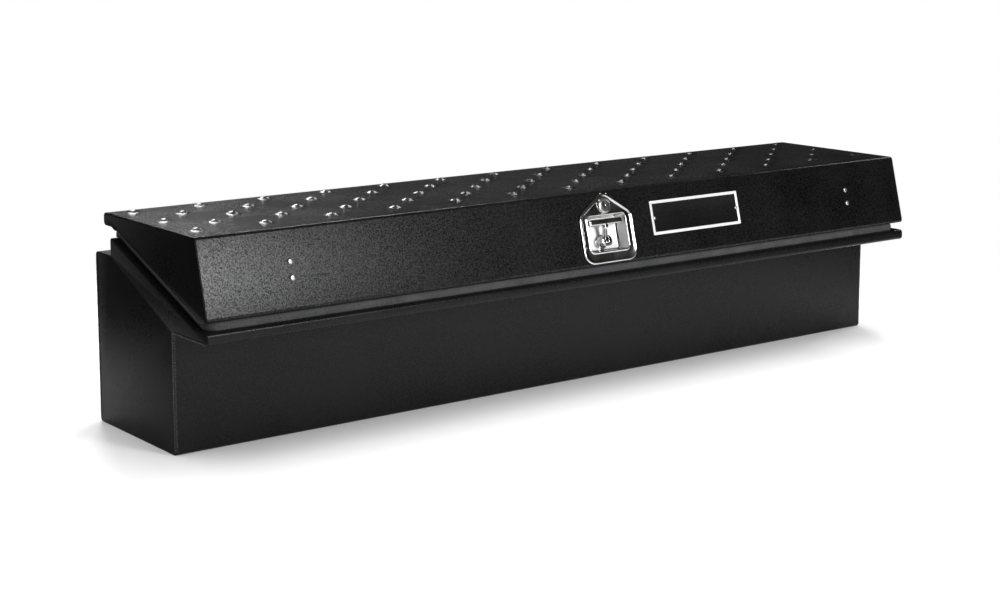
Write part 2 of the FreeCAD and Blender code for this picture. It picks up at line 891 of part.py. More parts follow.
def key_plug():
    """Plug with a keyway, a little below the bezel's face."""
    face = -gasket - pan - bezel_height + plug_sunk
    shape = plug(latch_x, lock_s, plug_radius, face, cam_depth, fine_sides)
    keyway = box(latch_x - keyway_width / 2, latch_x + keyway_width / 2, face - past, face + keyway_height,
                 -lock_s - keyway_height / 2, -lock_s + keyway_height / 2)
    return shape.cut(keyway)


def lock_pawl():
    """Flat pawl on the tail of the lock's plug, lying clear to the right until the key turns it down."""
    w = pawl_width / 2
    outline = clipped(latch_x - pawl_tail, latch_x + pawl_length, lock_s - w, lock_s + w, small_corner,
                      on_front(cam_depth))
    return outline.extrude(vec(0, sheet, 0))


# T-handle, spindle and cam


def handle_pivot():
    return vec(latch_x, handle_pivot_depth, -spindle_s)


def grip_ring(x, inset):
    """Section of the grip bar, an oblong with its corners cut off."""
    near = inset - grip_proud
    far = grip_depth - grip_proud - inset
    low = -handle_bar_s - grip_height / 2 + inset
    high = -handle_bar_s + grip_height / 2 - inset
    cut = grip_edge
    step = cut * corner_step
    corners = [(near, low, 1, 1), (far, low, -1, 1), (far, high, -1, -1), (near, high, 1, -1)]
    points = []
    for i, (y, z, to_y, to_z) in enumerate(corners):
        run = [vec(x, y, z + to_z * cut), vec(x, y + to_y * step, z + to_z * step), vec(x, y + to_y * cut, z)]
        points += run if i % 2 == 0 else run[::-1]
    return points


def t_handle():
    """Grip bar and stem; the stem's eye turns on a pin between the spindle's ears."""
    reach = handle_span / 2
    shoulder = reach - grip_end_chamfer
    grip = banded([grip_ring(latch_x - reach, grip_end_inset), grip_ring(latch_x - shoulder, 0),
                   grip_ring(latch_x + shoulder, 0), grip_ring(latch_x + reach, grip_end_inset)])
    pivot = handle_pivot()
    side = vec(stem_width / 2, 0, 0)
    foot = pivot.z + stem_over_eye
    profile = [(stem_at_bar[0], -handle_bar_s), (stem_at_bar[1], -handle_bar_s), (stem_at_eye[1], foot),
               (stem_at_eye[0], foot)]
    stem = flat([vec(latch_x - side.x, y, z) for y, z in profile]).extrude(side * 2)
    eye = rod(eye_radius, pivot - side, pivot + side, medium_sides)
    ends = [vec(latch_x, depth, -handle_bar_s - drop) for depth, drop in zip(collar_depths, collar_drops)]
    collar = rod(collar_radius, ends[0], ends[1], medium_sides)
    hole = bore(pin_radius + running_fit, pivot - side * 2, pivot + side * 2, small_sides)
    return joined([grip, stem, eye, collar]).cut(hole)


def spindle():
    """Clevis head with two ears, a round journal and a square tail for the cam."""
    base = pocket_depth - pan - bush_flange - base_gap
    front = clevis_front - past
    head = plug(latch_x, spindle_s, clevis_radius, clevis_front, base, fine_sides)
    slot = box(latch_x - clevis_slot / 2, latch_x + clevis_slot / 2, front, base - clevis_floor,
               -spindle_s - through, -spindle_s + through)
    clear = box(latch_x - through, latch_x + through, front, base - clevis_floor - past, -spindle_s - through,
                -spindle_s - clevis_cheek)
    journal = plug(latch_x, spindle_s, journal_radius, base, cam_depth, fine_sides)
    w = square_width / 2
    square = box(latch_x - w, latch_x + w, cam_depth, cam_far, -spindle_s - w, -spindle_s + w)
    tail = plug(latch_x, spindle_s, tail_radius, cam_far, cam_far + tail_length, small_sides)
    pivot = handle_pivot()
    hole = bore(pin_radius, pivot - vec(through, 0, 0), pivot + vec(through, 0, 0), small_sides)
    return joined([head.cut(slot).cut(clear), journal, square, tail]).cut(hole)


def handle_pin():
    reach = vec(clevis_radius - pin_short, 0, 0)
    return rod(pin_radius, handle_pivot() - reach, handle_pivot() + reach)


def spindle_bush():
    """Flanged bush riveted in the pocket's floor, which the spindle turns in."""
    floor = pocket_depth - pan
    stations = [(bush_flange_radius - bush_chamfer, floor - bush_flange),
                (bush_flange_radius, floor - bush_flange / 2),
                (bush_flange_radius, floor), (bush_radius, floor), (bush_radius, bush_reach)]
    body = turned(stations, fine_sides, vec(latch_x, 0, -spindle_s), vec(0, 1, 0))
    near = floor - bush_flange - past
    far = bush_reach + past
    return body.cut(plug_hole(latch_x, spindle_s, journal_radius + running_fit, near, far, fine_sides))


def cam_pin_place(side):
    """x and s of a cam pin at rest; side is 1 for the upper pin, which draws the left rod."""
    x = latch_x - side * cam_arm * math.sin(cam_half_turn)
    s = spindle_s - side * cam_arm * math.cos(cam_half_turn)
    return x, s


def cam_plate():
    """Two-armed plate with a pin in each arm and a lug that the lock's pawl stands in front of."""
    shapes = [plug(latch_x, spindle_s, cam_hub_radius, cam_depth, cam_far, medium_sides)]
    for side in (1, -1):
        x, s = cam_pin_place(side)
        shapes.append(plug(x, s, cam_end_radius, cam_depth, cam_far, small_sides))
        shapes.append(plug(x, s, cam_pin_radius, cam_depth, cam_far + cam_pin_reach, small_sides))
    arm = box(latch_x - cam_end_radius, latch_x + cam_end_radius, cam_depth, cam_far, -spindle_s - cam_arm,
              -spindle_s + cam_arm)
    lug = box(latch_x - cam_lug_width / 2, latch_x + cam_lug_width / 2, cam_depth, cam_far, -spindle_s,
              -spindle_s + cam_arm + cam_lug_reach)
    for shape in (arm, lug):
        shape.rotate(vec(latch_x, 0, -spindle_s), vec(0, 1, 0), -turn_angle / 2)
        shapes.append(shape)
    w = square_width / 2
    square = box(latch_x - w, latch_x + w, cam_depth - past, cam_far + past, -spindle_s - w, -spindle_s + w)
    return joined(shapes).cut(square)


def cam_nut():
    return hexagon_nut(latch_x, spindle_s, cam_nut_radius, tail_radius, small_sides, cam_far,
                       cam_far + cam_nut_height)


# Latch rods, guides and strikes


def rod_yoke(side, x0, x1):
    """Slotted plate at the inner end of a rod, round the cam's pin."""
    x, _ = cam_pin_place(side)
    near = spindle_s - side * yoke_near
    far = spindle_s - side * yoke_reach
    plate = clipped(x0, x1, min(near, far), max(near, far), small_corner, on_front(yoke_depth))
    middle = spindle_s - side * (cam_arm * (1 + math.cos(cam_half_turn)) / 2)
    slot = clipped(x - yoke_play[0], x + yoke_play[0], middle - yoke_play[1], middle + yoke_play[1], past,
                   on_front(yoke_depth - past))
    return plate.extrude(vec(0, yoke_thickness, 0)).cut(slot.extrude(vec(0, yoke_thickness + 2 * past, 0)))


def bent_rod(points):
    """Round bar along straight runs joined by arcs, in the plane of the rods."""
    place = on_front(rod_depth)
    edges = []
    here = points[0]
    for i in range(1, len(points) - 1):
        start, middle, end, _, _ = bend(*points[i - 1:i + 2], rod_crank_radius)
        edges.append(Part.LineSegment(place(*here), place(*start)).toShape())
        edges.append(Part.Arc(place(*start), place(*middle), place(*end)).toShape())
        here = end
    edges.append(Part.LineSegment(place(*here), place(*points[-1])).toShape())
    ring = []
    for k in range(small_sides):
        angle = 2 * math.pi * (k + 0.5) / small_sides
        ring.append(place(*points[0]) + vec(0, rod_radius * math.cos(angle), rod_radius * math.sin(angle)))
    return Part.Wire(edges).makePipeShell([Part.makePolygon(ring + ring[:1])], True, False)


def latch_rod_left():
    tip = -strike_x + rod_tip_gap
    x, _ = cam_pin_place(1)
    inner = x - rod_start
    stations = [(rod_radius - rod_tip_chamfer, 0), (rod_radius, rod_tip_chamfer), (rod_radius, inner - tip)]
    bar = turned(stations, small_sides, vec(tip, rod_depth, -rod_s), vec(1, 0, 0))
    return joined([bar, rod_yoke(1, inner - yoke_overlap, x + yoke_past_pin)])


def latch_rod_right():
    """Cranked where it steps up from the lower cam pin to the height of its guide."""
    tip = strike_x - rod_tip_gap
    x, _ = cam_pin_place(-1)
    inner = x + rod_start
    low = spindle_s + (spindle_s - rod_s)
    bar = bent_rod([(inner, low), (inner + rod_crank[0], low), (inner + rod_crank[1], rod_s), (tip, rod_s)])
    return joined([bar, rod_yoke(-1, x - yoke_past_pin, inner + yoke_overlap)])


def guide_rivet_places():
    return [(x, rod_s + k * guide_rivet_pitch / 2) for x in (guide_left_x, guide_right_x) for k in (-1, 1)]


def rod_guide(x):
    """Angle riveted behind the lid's front, with a hole that the rod slides in."""
    w = guide_width / 2
    h = guide_height / 2
    foot = clipped(x - w, x + w, rod_s - h, rod_s + h, guide_corner, on_front(sheet))
    foot = foot.extrude(vec(0, sheet, 0))
    wall_x = x + (w - sheet if x < 0 else -w)
    top = rod_depth + guide_wall_past_rod
    side = guide_wall_half
    corner = guide_wall_corner
    outline = [(sheet, -side), (top - corner, -side), (top, corner - side), (top, side - corner),
               (top - corner, side), (sheet, side)]
    wall = flat([vec(wall_x, y, z - rod_s) for y, z in outline]).extrude(vec(sheet, 0, 0))
    bore_ends = [vec(x + k * through, rod_depth, -rod_s) for k in (-1, 1)]
    cuts = [bore(rod_radius + guide_bore_play, bore_ends[0], bore_ends[1], small_sides)]
    for k in (-1, 1):
        cuts.append(plug(x, rod_s + k * guide_rivet_pitch / 2, guide_rivet_shank, 0, through, rivet_sides))
    return joined([foot, wall]).cut(Part.makeCompound(cuts))


def guide_rivets():
    return Part.makeCompound([
        blind_rivet(guide_rivet_radius, guide_rivet_height, guide_rivet_shank, 2 * sheet, rivet_sides,
                    vec(x, 0, -s), vec(0, -1, 0))
        for x, s in guide_rivet_places()])


def strike():
    """Right-hand strike: a plate that stands up from the end wall, with a hole that the rod points at."""
    target = face_point(0, rod_depth, rod_s)
    low = rail_height + sheet
    w = strike_width / 2
    top = target.z + strike_rise
    outline = [(target.y - w, low), (target.y + w, low), (target.y + w, top - strike_corner),
               (target.y + w - strike_corner, top), (target.y - w + strike_corner, top),
               (target.y - w, top - strike_corner)]
    plate = flat([vec(strike_x, y, z) for y, z in outline]).extrude(vec(sheet, 0, 0))
    foot = box(strike_x, inner_half - sheet, target.y - w, target.y + w, low, low + sheet)
    hole = bore(rod_radius + strike_bore_play, vec(strike_x - through, target.y, target.z),
                vec(inner_half, target.y, target.z), small_sides)
    return joined([plate, foot]).cut(hole)


# Gas springs


def spring_eye(centre, radius):
    reach = vec(eye_half, 0, 0)
    return rod(radius, centre - reach, centre + reach, medium_sides)


def gas_spring_rod():
    """Polished rod with the lower eye, which turns on the tub's stud."""
    tip = strut_length - strut_neck - strut_rod_inside
    bar = rod(strut_rod_radius, strut_foot, strut_foot + strut_way * tip, small_sides)
    side = vec(strut_eye_width, 0, 0)
    hole = bore(strut_stud_radius + running_fit, strut_foot - side, strut_foot + side, small_sides)
    return joined([spring_eye(strut_foot, strut_eye_radius + rod_eye_extra), bar]).cut(hole)


def gas_spring_tube():
    """Pressure tube that slides on the rod, with a neck and the upper eye."""
    length = strut_length - strut_neck - strut_tube_start
    lead = tube_chamfer
    stations = [(strut_tube_radius - lead, 0), (strut_tube_radius, lead), (strut_tube_radius, length - lead),
                (strut_tube_radius - lead, length), (strut_rod_radius, length),
                (strut_rod_radius, length + strut_neck)]
    start = strut_foot + strut_way * strut_tube_start
    tube = turned(stations, medium_sides, start, strut_way)
    inside = length - strut_rod_inside + tube_bore_over
    bore_ends = [start - strut_way, start + strut_way * inside]
    hole = bore(strut_rod_radius + tube_bore_play, bore_ends[0], bore_ends[1], small_sides)
    side = vec(strut_eye_width, 0, 0)
    socket = bore(strut_stud_radius + stud_hole_play, strut_head - side, strut_head + side, small_sides)
    return joined([tube, spring_eye(strut_head, strut_eye_radius)]).cut(hole).cut(socket)


def strut_bracket_tub():
    """Plate on the end wall with a headed stud for the gas spring's lower eye."""
    y = strut_foot.y
    z = strut_foot.z
    w = bracket_size / 2
    wall = inner_half - sheet
    outline = clipped(y - w, y + w, z - w, z + w, bracket_corner, in_yz(wall))
    inner_end = strut_x - eye_half - stud_head
    shoulder = 2 * eye_half + stud_head + head_gap
    stations = [(stud_head_radius, head_gap - stud_head), (stud_head_radius, stud_head - head_gap),
                (strut_stud_radius, stud_head - head_gap), (strut_stud_radius, shoulder),
                (stud_head_radius, shoulder), (stud_head_radius, wall - inner_end)]
    stud = turned(stations, small_sides, vec(inner_end, y, z), vec(1, 0, 0))
    return joined([outline.extrude(vec(sheet, 0, 0)), stud])


def strut_bracket_lid():
    """Angle under the lid's top; its stud stops short of the gas spring's upper eye."""
    y = strut_head.y
    z = strut_head.z
    wall_x = strut_x + strut_tube_radius + lid_bracket_clear
    under = lid_top - sheet
    w = lid_bracket_half
    drop = lid_bracket_corner
    outline = [(y - w, under), (y - w, z), (y - w + drop, z - drop), (y + w - drop, z - drop), (y + w, z),
               (y + w, under)]
    wall = flat([vec(wall_x, *p) for p in outline]).extrude(vec(sheet, 0, 0))
    foot = box(wall_x, wall_x + lid_bracket_foot, y - w, y + w, under - sheet, under)
    stud_end = vec(strut_x + eye_half + stud_end_gap, y, z)
    stud = rod(strut_stud_radius, stud_end, vec(wall_x, y, z), small_sides)
    return joined([wall, foot, stud])


# Name plate


def plate_rivet_places():
    reach = plate_length / 2 - plate_rivet_inset
    return [(plate_x - reach, plate_s), (plate_x + reach, plate_s)]


def name_plate():
    """Bare plate with a raised border."""
    shapes = []
    for inset, depth in ((0, -plate_sheet), (plate_border, -plate_sheet - past)):
        w = plate_length / 2 - inset
        h = plate_height / 2 - inset
        place = on_front(depth)
        shapes.append(clipped(plate_x - w, plate_x + w, plate_s - h, plate_s + h, plate_corner, place))
    plate = shapes[0].extrude(vec(0, plate_sheet, 0)).cut(shapes[1].extrude(vec(0, plate_sunk + past, 0)))
    holes = []
    for x, s in plate_rivet_places():
        holes.append(plug(x, s, plate_rivet_shank, -plate_sheet - past, past, rivet_sides))
    return plate.cut(Part.makeCompound(holes))


def name_plate_rivets():
    base = plate_sunk - plate_sheet
    return Part.makeCompound([
        blind_rivet(plate_rivet_radius, plate_rivet_height, plate_rivet_shank, sheet - base, rivet_sides,
                    vec(x, base, -s), vec(0, -1, 0))
        for x, s in plate_rivet_places()])


def build():
    weld, bevel = corner_weld()
    right_end = tub_end().cut(bevel)
    wrap = folded_sheet(tub_profile(), 1, -inner_half, inner_half)
    wrap = wrap.cut(tub_rivet_holes(riser - sheet - past, riser + past))
    seal = seal_end()
    nodes = {
        "tub_wrap": wrap,
        "tub_end_right": right_end,
        "tub_end_left": mirrored(right_end),
        "tub_weld_right": weld,
        "tub_weld_left": mirrored(weld),
        "seal_front": seal_front(),
        "seal_right": seal,
        "seal_left": mirrored(seal),
        "seal_rear": seal_rear(),
        "hinge_leaf_tub": hinge_leaf_tub(),
        "hinge_leaf_lid": hinge_leaf_lid(),
        "hinge_pin": hinge_pin(),
        "hinge_rivets_tub": hinge_rivets_tub(),
        "hinge_rivets_lid": hinge_rivets_lid(),
        "lid_wrap": lid_wrap(),
        "lid_end_right": lid_end(),
        "lid_end_left": mirrored(lid_end()),
        "lid_stiffener": lid_stiffener(),
        "latch_gasket": on_lid_front(latch_gasket()),
        "latch_dish": on_lid_front(latch_dish()),
        "latch_nuts": on_lid_front(latch_nuts()),
        "lock_housing": on_lid_front(lock_housing()),
        "key_plug": on_lid_front(key_plug()),
        "lock_pawl": on_lid_front(lock_pawl()),
        "t_handle": on_lid_front(t_handle()),
        "handle_pin": on_lid_front(handle_pin()),
        "spindle": on_lid_front(spindle()),
        "spindle_bush": on_lid_front(spindle_bush()),
        "cam_plate": on_lid_front(cam_plate()),
        "cam_nut": on_lid_front(cam_nut()),
        "latch_rod_left": on_lid_front(latch_rod_left()),
        "latch_rod_right": on_lid_front(latch_rod_right()),
        "rod_guide_left": on_lid_front(rod_guide(guide_left_x)),
        "rod_guide_right": on_lid_front(rod_guide(guide_right_x)),
        "guide_rivets": on_lid_front(guide_rivets()),
        "strike_right": strike(),
        "strike_left": mirrored(strike()),
        "gas_spring_rod_right": gas_spring_rod(),
        "gas_spring_rod_left": mirrored(gas_spring_rod()),
        "gas_spring_tube_right": gas_spring_tube(),
        "gas_spring_tube_left": mirrored(gas_spring_tube()),
        "strut_bracket_tub_right": strut_bracket_tub(),
        "strut_bracket_tub_left": mirrored(strut_bracket_tub()),
        "strut_bracket_lid_right": strut_bracket_lid(),
        "strut_bracket_lid_left": mirrored(strut_bracket_lid()),
        "name_plate": on_lid_front(name_plate()),
        "name_plate_rivets": on_lid_front(name_plate_rivets()),
    }
    os.makedirs("parts", exist_ok=True)
    for name, shape in nodes.items():
        print(name, round(shape.Volume, 1), len(shape.Solids), shape.isValid())
        shape.exportStep("parts/" + name + ".step")


build()
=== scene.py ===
import math

import bmesh
import bpy
from mathutils import Matrix, Vector


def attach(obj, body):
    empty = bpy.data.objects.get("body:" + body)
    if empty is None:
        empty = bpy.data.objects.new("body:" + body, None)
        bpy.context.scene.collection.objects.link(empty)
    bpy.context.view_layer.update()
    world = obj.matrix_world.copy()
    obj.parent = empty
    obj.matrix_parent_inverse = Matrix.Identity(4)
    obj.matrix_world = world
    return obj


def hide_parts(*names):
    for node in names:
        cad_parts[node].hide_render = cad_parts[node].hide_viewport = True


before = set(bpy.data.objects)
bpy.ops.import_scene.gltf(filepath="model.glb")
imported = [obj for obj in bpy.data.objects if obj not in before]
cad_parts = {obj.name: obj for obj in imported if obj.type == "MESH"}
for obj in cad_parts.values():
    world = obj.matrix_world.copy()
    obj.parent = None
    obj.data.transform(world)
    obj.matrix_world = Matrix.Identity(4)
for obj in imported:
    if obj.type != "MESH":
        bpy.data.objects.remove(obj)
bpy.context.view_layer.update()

mm = 0.001

# Camera and studio.
# A long lens looks down on the box from beyond its left front corner. It stands on a pale floor that
# fades into a white room, under a wide softbox, with smaller ones in front and behind for the sheen.

camera_place = Vector((-2.0801, -2.6869, 0.8321))
camera_heading = math.radians(37.187)
camera_dip = math.radians(8.732)

camera = bpy.data.objects.new("camera", bpy.data.cameras.new("camera"))
camera.data.lens = 68.907
camera.data.sensor_width = 36.0
camera.data.shift_y = -0.1
camera.location = camera_place
camera.rotation_euler = (math.pi / 2 - camera_dip, 0.0, -camera_heading)
bpy.context.scene.collection.objects.link(camera)
bpy.context.scene.camera = camera
bpy.context.scene.view_settings.view_transform = "Standard"


class Reckon:
    """A number in a node tree that takes part in plain arithmetic."""

    def __init__(self, tree, socket):
        self.tree = tree
        self.socket = socket

    def step(self, operation, *others):
        node = self.tree.nodes.new("ShaderNodeMath")
        node.operation = operation
        for place, item in enumerate((self,) + others):
            if isinstance(item, Reckon):
                self.tree.links.new(item.socket, node.inputs[place])
            else:
                node.inputs[place].default_value = item
        return Reckon(self.tree, node.outputs[0])

    def __add__(self, other):
        return self.step("ADD", other)

    def __sub__(self, other):
        return self.step("SUBTRACT", other)

    def __mul__(self, other):
        return self.step("MULTIPLY", other)

    def __truediv__(self, other):
        return self.step("DIVIDE", other)

    def into(self, socket):
        self.tree.links.new(self.socket, socket)


def spread(value, low, high, start=0.3, end=0.7):
    """A value that runs from start to end, stretched to run from low to high."""
    node = value.tree.nodes.new("ShaderNodeMapRange")
    node.inputs["From Min"].default_value = start
    node.inputs["From Max"].default_value = end
    node.inputs["To Min"].default_value = low
    node.inputs["To Max"].default_value = high
    value.into(node.inputs["Value"])
    return Reckon(value.tree, node.outputs["Result"])


def light_path(tree, name):
    return Reckon(tree, tree.nodes.new("ShaderNodeLightPath").outputs[name])


def white_to_the_lens(tree, dim, lit):
    """A value of lit for what the camera and mirrors see, and dim for the light that falls on the box."""
    seen = light_path(tree, "Is Camera Ray")
    for name in ("Is Glossy Ray", "Is Transmission Ray"):
        seen = seen.step("MAXIMUM", light_path(tree, name))
    return seen * (lit - dim) + dim


world = bpy.data.worlds.new("studio")
world.use_nodes = True
bpy.context.scene.world = world
room = world.node_tree
background = room.nodes["Background"]
background.inputs["Color"].default_value = (1.0, 1.0, 1.0, 1.0)
heading = room.nodes.new("ShaderNodeTexCoord").outputs["Generated"]
parted = room.nodes.new("ShaderNodeSeparateXYZ")
room.links.new(heading, parted.inputs[0])
above = spread(Reckon(room, parted.outputs[2]), 1.0, 0.05, 0.01, 0.09)
across = Reckon(room, parted.outputs[0])
dark_sides = spread(across, 0.03, 1.0, -0.35, 0.15) * spread(across, 1.0, 0.06, 0.42, 0.74)
mirrored = light_path(room, "Is Glossy Ray")
lit_room = white_to_the_lens(room, 0.42, 1.0)
(lit_room * (mirrored * -1.0 + 1.0) + above * dark_sides * mirrored).into(background.inputs["Strength"])

floor_mesh = bpy.data.meshes.new("studio_floor")
floor_mesh.from_pydata([(-6, -6, 0), (6, -6, 0), (6, 6, 0), (-6, 6, 0)], [], [(0, 1, 2, 3)])
studio_floor = bpy.data.objects.new("studio_floor", floor_mesh)
bpy.context.scene.collection.objects.link(studio_floor)
floor_paint = bpy.data.materials.new("floor_paint")
floor_paint.use_nodes = True
floor_tree = floor_paint.node_tree
floor_shader = floor_tree.nodes["Principled BSDF"]
floor_shader.inputs["Roughness"].default_value = 0.9
floor_shader.inputs["Specular IOR Level"].default_value = 0.0
floor_tone = floor_tree.nodes.new("ShaderNodeCombineColor")
for channel in floor_tone.inputs:
    white_to_the_lens(floor_tree, 0.7, 0.98).into(channel)
floor_tree.links.new(floor_tone.outputs[0], floor_shader.inputs["Base Color"])
from_middle = floor_tree.nodes.new("ShaderNodeVectorMath")
from_middle.operation = "LENGTH"
floor_tree.links.new(floor_tree.nodes.new("ShaderNodeTexCoord").outputs["Object"], from_middle.inputs[0])
spread(Reckon(floor_tree, from_middle.outputs["Value"]), 1.0, 0.0, 0.9, 1.4).into(floor_shader.inputs["Alpha"])
studio_floor.data.materials.append(floor_paint)


def softbox(name, place, target, width, height, power, mirrored=True):
    lamp = bpy.data.objects.new(name, bpy.data.lights.new(name, "AREA"))
    lamp.data.shape = "RECTANGLE"
    lamp.data.size = width
    lamp.data.size_y = height
    lamp.data.energy = power
    lamp.location = place
    lamp.rotation_euler = (Vector(target) - Vector(place)).to_track_quat("-Z", "Y").to_euler()
    lamp.visible_camera = False
    lamp.visible_glossy = mirrored
    bpy.context.scene.collection.objects.link(lamp)


softbox("softbox_over", (-0.2, -0.3, 2.8), (0, 0, 0.2), 3.4, 2.6, 66, mirrored=False)
softbox("softbox_behind_left", (0.4, 2.5, 2.2), (-0.3, 0, 0.35), 0.7, 0.4, 54)
softbox("softbox_behind_right", (1.5, 1.7, 2.8), (0.3, 0, 0.35), 0.55, 0.35, 24)
softbox("softbox_right", (2.6, 0.3, 1.9), (0.6, -0.2, 0.35), 0.4, 0.3, 8)
softbox("softbox_front", (0.5, -3.2, 1.15), (-0.6, -0.2, 0.3), 0.9, 0.8, 70)

# Tub wrap.
# One 3 mm aluminium sheet, folded on a press brake into floor, front, rail flange, lip, rear wall,
# shelf and riser, and coated with black textured powder. The end panels are welded into its ends.

box_length = 1524 * mm
tub_depth = 260 * mm
sheet = 3 * mm
fold_radius = 4.5 * mm
rail_height = 191.5 * mm
rail_overhang = 105.5 * mm
lip_height = 18.5 * mm
front_rim_width = 29.5 * mm
shelf_height = 282 * mm
shelf_depth = 54 * mm
riser_top = 311 * mm
rear_rim_width = 15 * mm

half = box_length / 2
inner_half = half - sheet
tub_front = -tub_depth / 2
tub_back = tub_depth / 2
lip_front = tub_front - rail_overhang
rim_front_top = rail_height + lip_height
riser = tub_back - shelf_depth
slope_front = lip_front + front_rim_width
slope_rear = riser - rear_rim_width
slope = (riser_top - rim_front_top) / (slope_rear - slope_front)
tub_corners = [
    (slope_front, rim_front_top), (lip_front, rim_front_top), (lip_front, rail_height),
    (tub_front, rail_height), (tub_front, 0), (tub_back, 0), (tub_back, shelf_height),
    (riser, shelf_height), (riser, riser_top), (slope_rear, riser_top),
]


def left_of(way):
    return Vector((-way.y, way.x))


def turned_by(way, angle):
    c = math.cos(angle)
    s = math.sin(angle)
    return Vector((way.x * c - way.y * s, way.x * s + way.y * c))


def ways_at(points, i, closed=False):
    """Directions of a line before and after one of its corners."""
    last = len(points) - 1
    after = points[(i + 1) % len(points)] - points[i] if closed or i < last else points[i] - points[i - 1]
    before = points[i] - points[i - 1] if closed or i else after
    return before.normalized(), after.normalized()


def turn_between(before, after):
    return math.atan2(before.x * after.y - before.y * after.x, before.dot(after))


def shifted(points, distance):
    """Open line moved to its left."""
    moved = []
    for i, point in enumerate(points):
        before, after = ways_at(points, i)
        bisector = left_of(before) + left_of(after)
        moved.append(point + bisector * distance / (1 + left_of(before).dot(left_of(after))))
    return moved


def arc_points(corner, before, after, radius, steps):
    """Points round a corner, each with the direction to the left of the line there."""
    turn = turn_between(before, after)
    if abs(turn) < 1e-6 or radius <= 0:
        return [(corner, left_of(before))]
    sign = math.copysign(1, turn)
    start = corner - before * radius * math.tan(abs(turn) / 2)
    centre = start + left_of(before) * radius * sign
    found = []
    for k in range(steps + 1):
        aside = turned_by(left_of(before), turn * k / steps)
        found.append((centre - aside * radius * sign, aside))
    return found


def eased_line(corners, radius, steps=6):
    """Open line with its corners rounded, each point with the direction to its left."""
    points = [Vector(c) for c in corners]
    found = []
    for i, corner in enumerate(points):
        before, after = ways_at(points, i)
        found += arc_points(corner, before, after, radius, steps)
    return found


def folded_line(corners, side, thickness, radius):
    """Middle line of a bent sheet whose outer face follows the corners."""
    return eased_line(shifted([Vector(c) for c in corners], side * thickness / 2), radius, 8)


def rounded(corners, radii, steps=8):
    """Closed outline with a radius at each corner."""
    points = [Vector(c) for c in corners]
    found = []
    for i, corner in enumerate(points):
        before, after = ways_at(points, i, True)
        found += [p for p, _ in arc_points(corner, before, after, radii[i], steps)]
    return found


def skins(line, thickness):
    """Closed ring of points round a bent sheet."""
    half_sheet = thickness / 2
    return [p - n * half_sheet for p, n in line] + [p + n * half_sheet for p, n in reversed(line)]


def outward(mesh):
    """Merge what touches and point every face of a closed mesh outwards."""
    shape = bmesh.new()
    shape.from_mesh(mesh)
    bmesh.ops.remove_doubles(shape, verts=shape.verts, dist=0.004 * mm)
    bmesh.ops.recalc_face_normals(shape, faces=shape.faces)
    shape.to_mesh(mesh)
    shape.free()
    return mesh


def tube_mesh(name, rings, closed=False, sheet_ends=False):
    """Closed mesh through rings of points; a bent sheet's ends are filled with a strip of quads."""
    count = len(rings[0])
    points = [p for ring in rings for p in ring]
    faces = []
    for i in range(len(rings) if closed else len(rings) - 1):
        here = i * count
        there = (i + 1) % len(rings) * count
        for k in range(count):
            n = (k + 1) % count
            faces.append((here + k, here + n, there + n, there + k))
    far = (len(rings) - 1) * count
    if sheet_ends:
        for k in range(count // 2 - 1):
            faces.append((count - 1 - k, count - 2 - k, k + 1, k))
            faces.append((far + k, far + k + 1, far + count - 2 - k, far + count - 1 - k))
    elif not closed:
        faces.append(tuple(reversed(range(count))))
        faces.append(tuple(range(far, far + count)))
    mesh = bpy.data.meshes.new(name)
    mesh.from_pydata(points, [], faces)
    return outward(mesh)


def placed(name, mesh):
    piece = bpy.data.objects.new(name, mesh)
    bpy.context.scene.collection.objects.link(piece)
    return piece


def applied(piece):
    """Turn a piece and its modifiers into a plain mesh."""
    bpy.context.view_layer.update()
    seen = piece.evaluated_get(bpy.context.evaluated_depsgraph_get())
    mesh = bpy.data.meshes.new_from_object(seen)
    piece.modifiers.clear()
    piece.data = mesh
    return piece


def finished(piece, body, material, slot, *nodes, angle=35):
    """Shade a piece, give it its finish and put it on its body in place of the nodes."""
    piece.data.shade_smooth()
    piece.data.set_sharp_from_angle(angle=math.radians(angle))
    if material:
        piece.data.materials.clear()
        piece.data.materials.append(material)
    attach(piece, body)
    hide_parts(*nodes)
    return piece


def new_material(name, metallic=0.0, specular=0.5):
    material = bpy.data.materials.new(name)
    material.use_nodes = True
    shader = material.node_tree.nodes["Principled BSDF"]
    shader.inputs["Metallic"].default_value = metallic
    shader.inputs["Specular IOR Level"].default_value = specular
    return material, shader


def noise(tree, scale, detail=2.0):
    """Noise over Object coordinates. The scale is in waves to the metre."""
    place = tree.nodes.new("ShaderNodeTexCoord").outputs["Object"]
    cloud = tree.nodes.new("ShaderNodeTexNoise")
    cloud.inputs["Detail"].default_value = detail
    tree.links.new(place, cloud.inputs["Vector"])
    scale.into(cloud.inputs["Scale"])
    return Reckon(tree, cloud.outputs["Fac"])


def blended(mask, low, high, socket):
    """Colour between two tones by a mask."""
    mix = mask.tree.nodes.new("ShaderNodeMix")
    mix.data_type = "RGBA"
    mix.inputs["A"].default_value = (*low, 1.0)
    mix.inputs["B"].default_value = (*high, 1.0)
    mask.into(mix.inputs["Factor"])
    mask.tree.links.new(mix.outputs["Result"], socket)


def bumped(height, shader, distance):
    bump = height.tree.nodes.new("ShaderNodeBump")
    bump.inputs["Distance"].default_value = distance
    height.into(bump.inputs["Height"])
    height.tree.links.new(bump.outputs["Normal"], shader.inputs["Normal"])


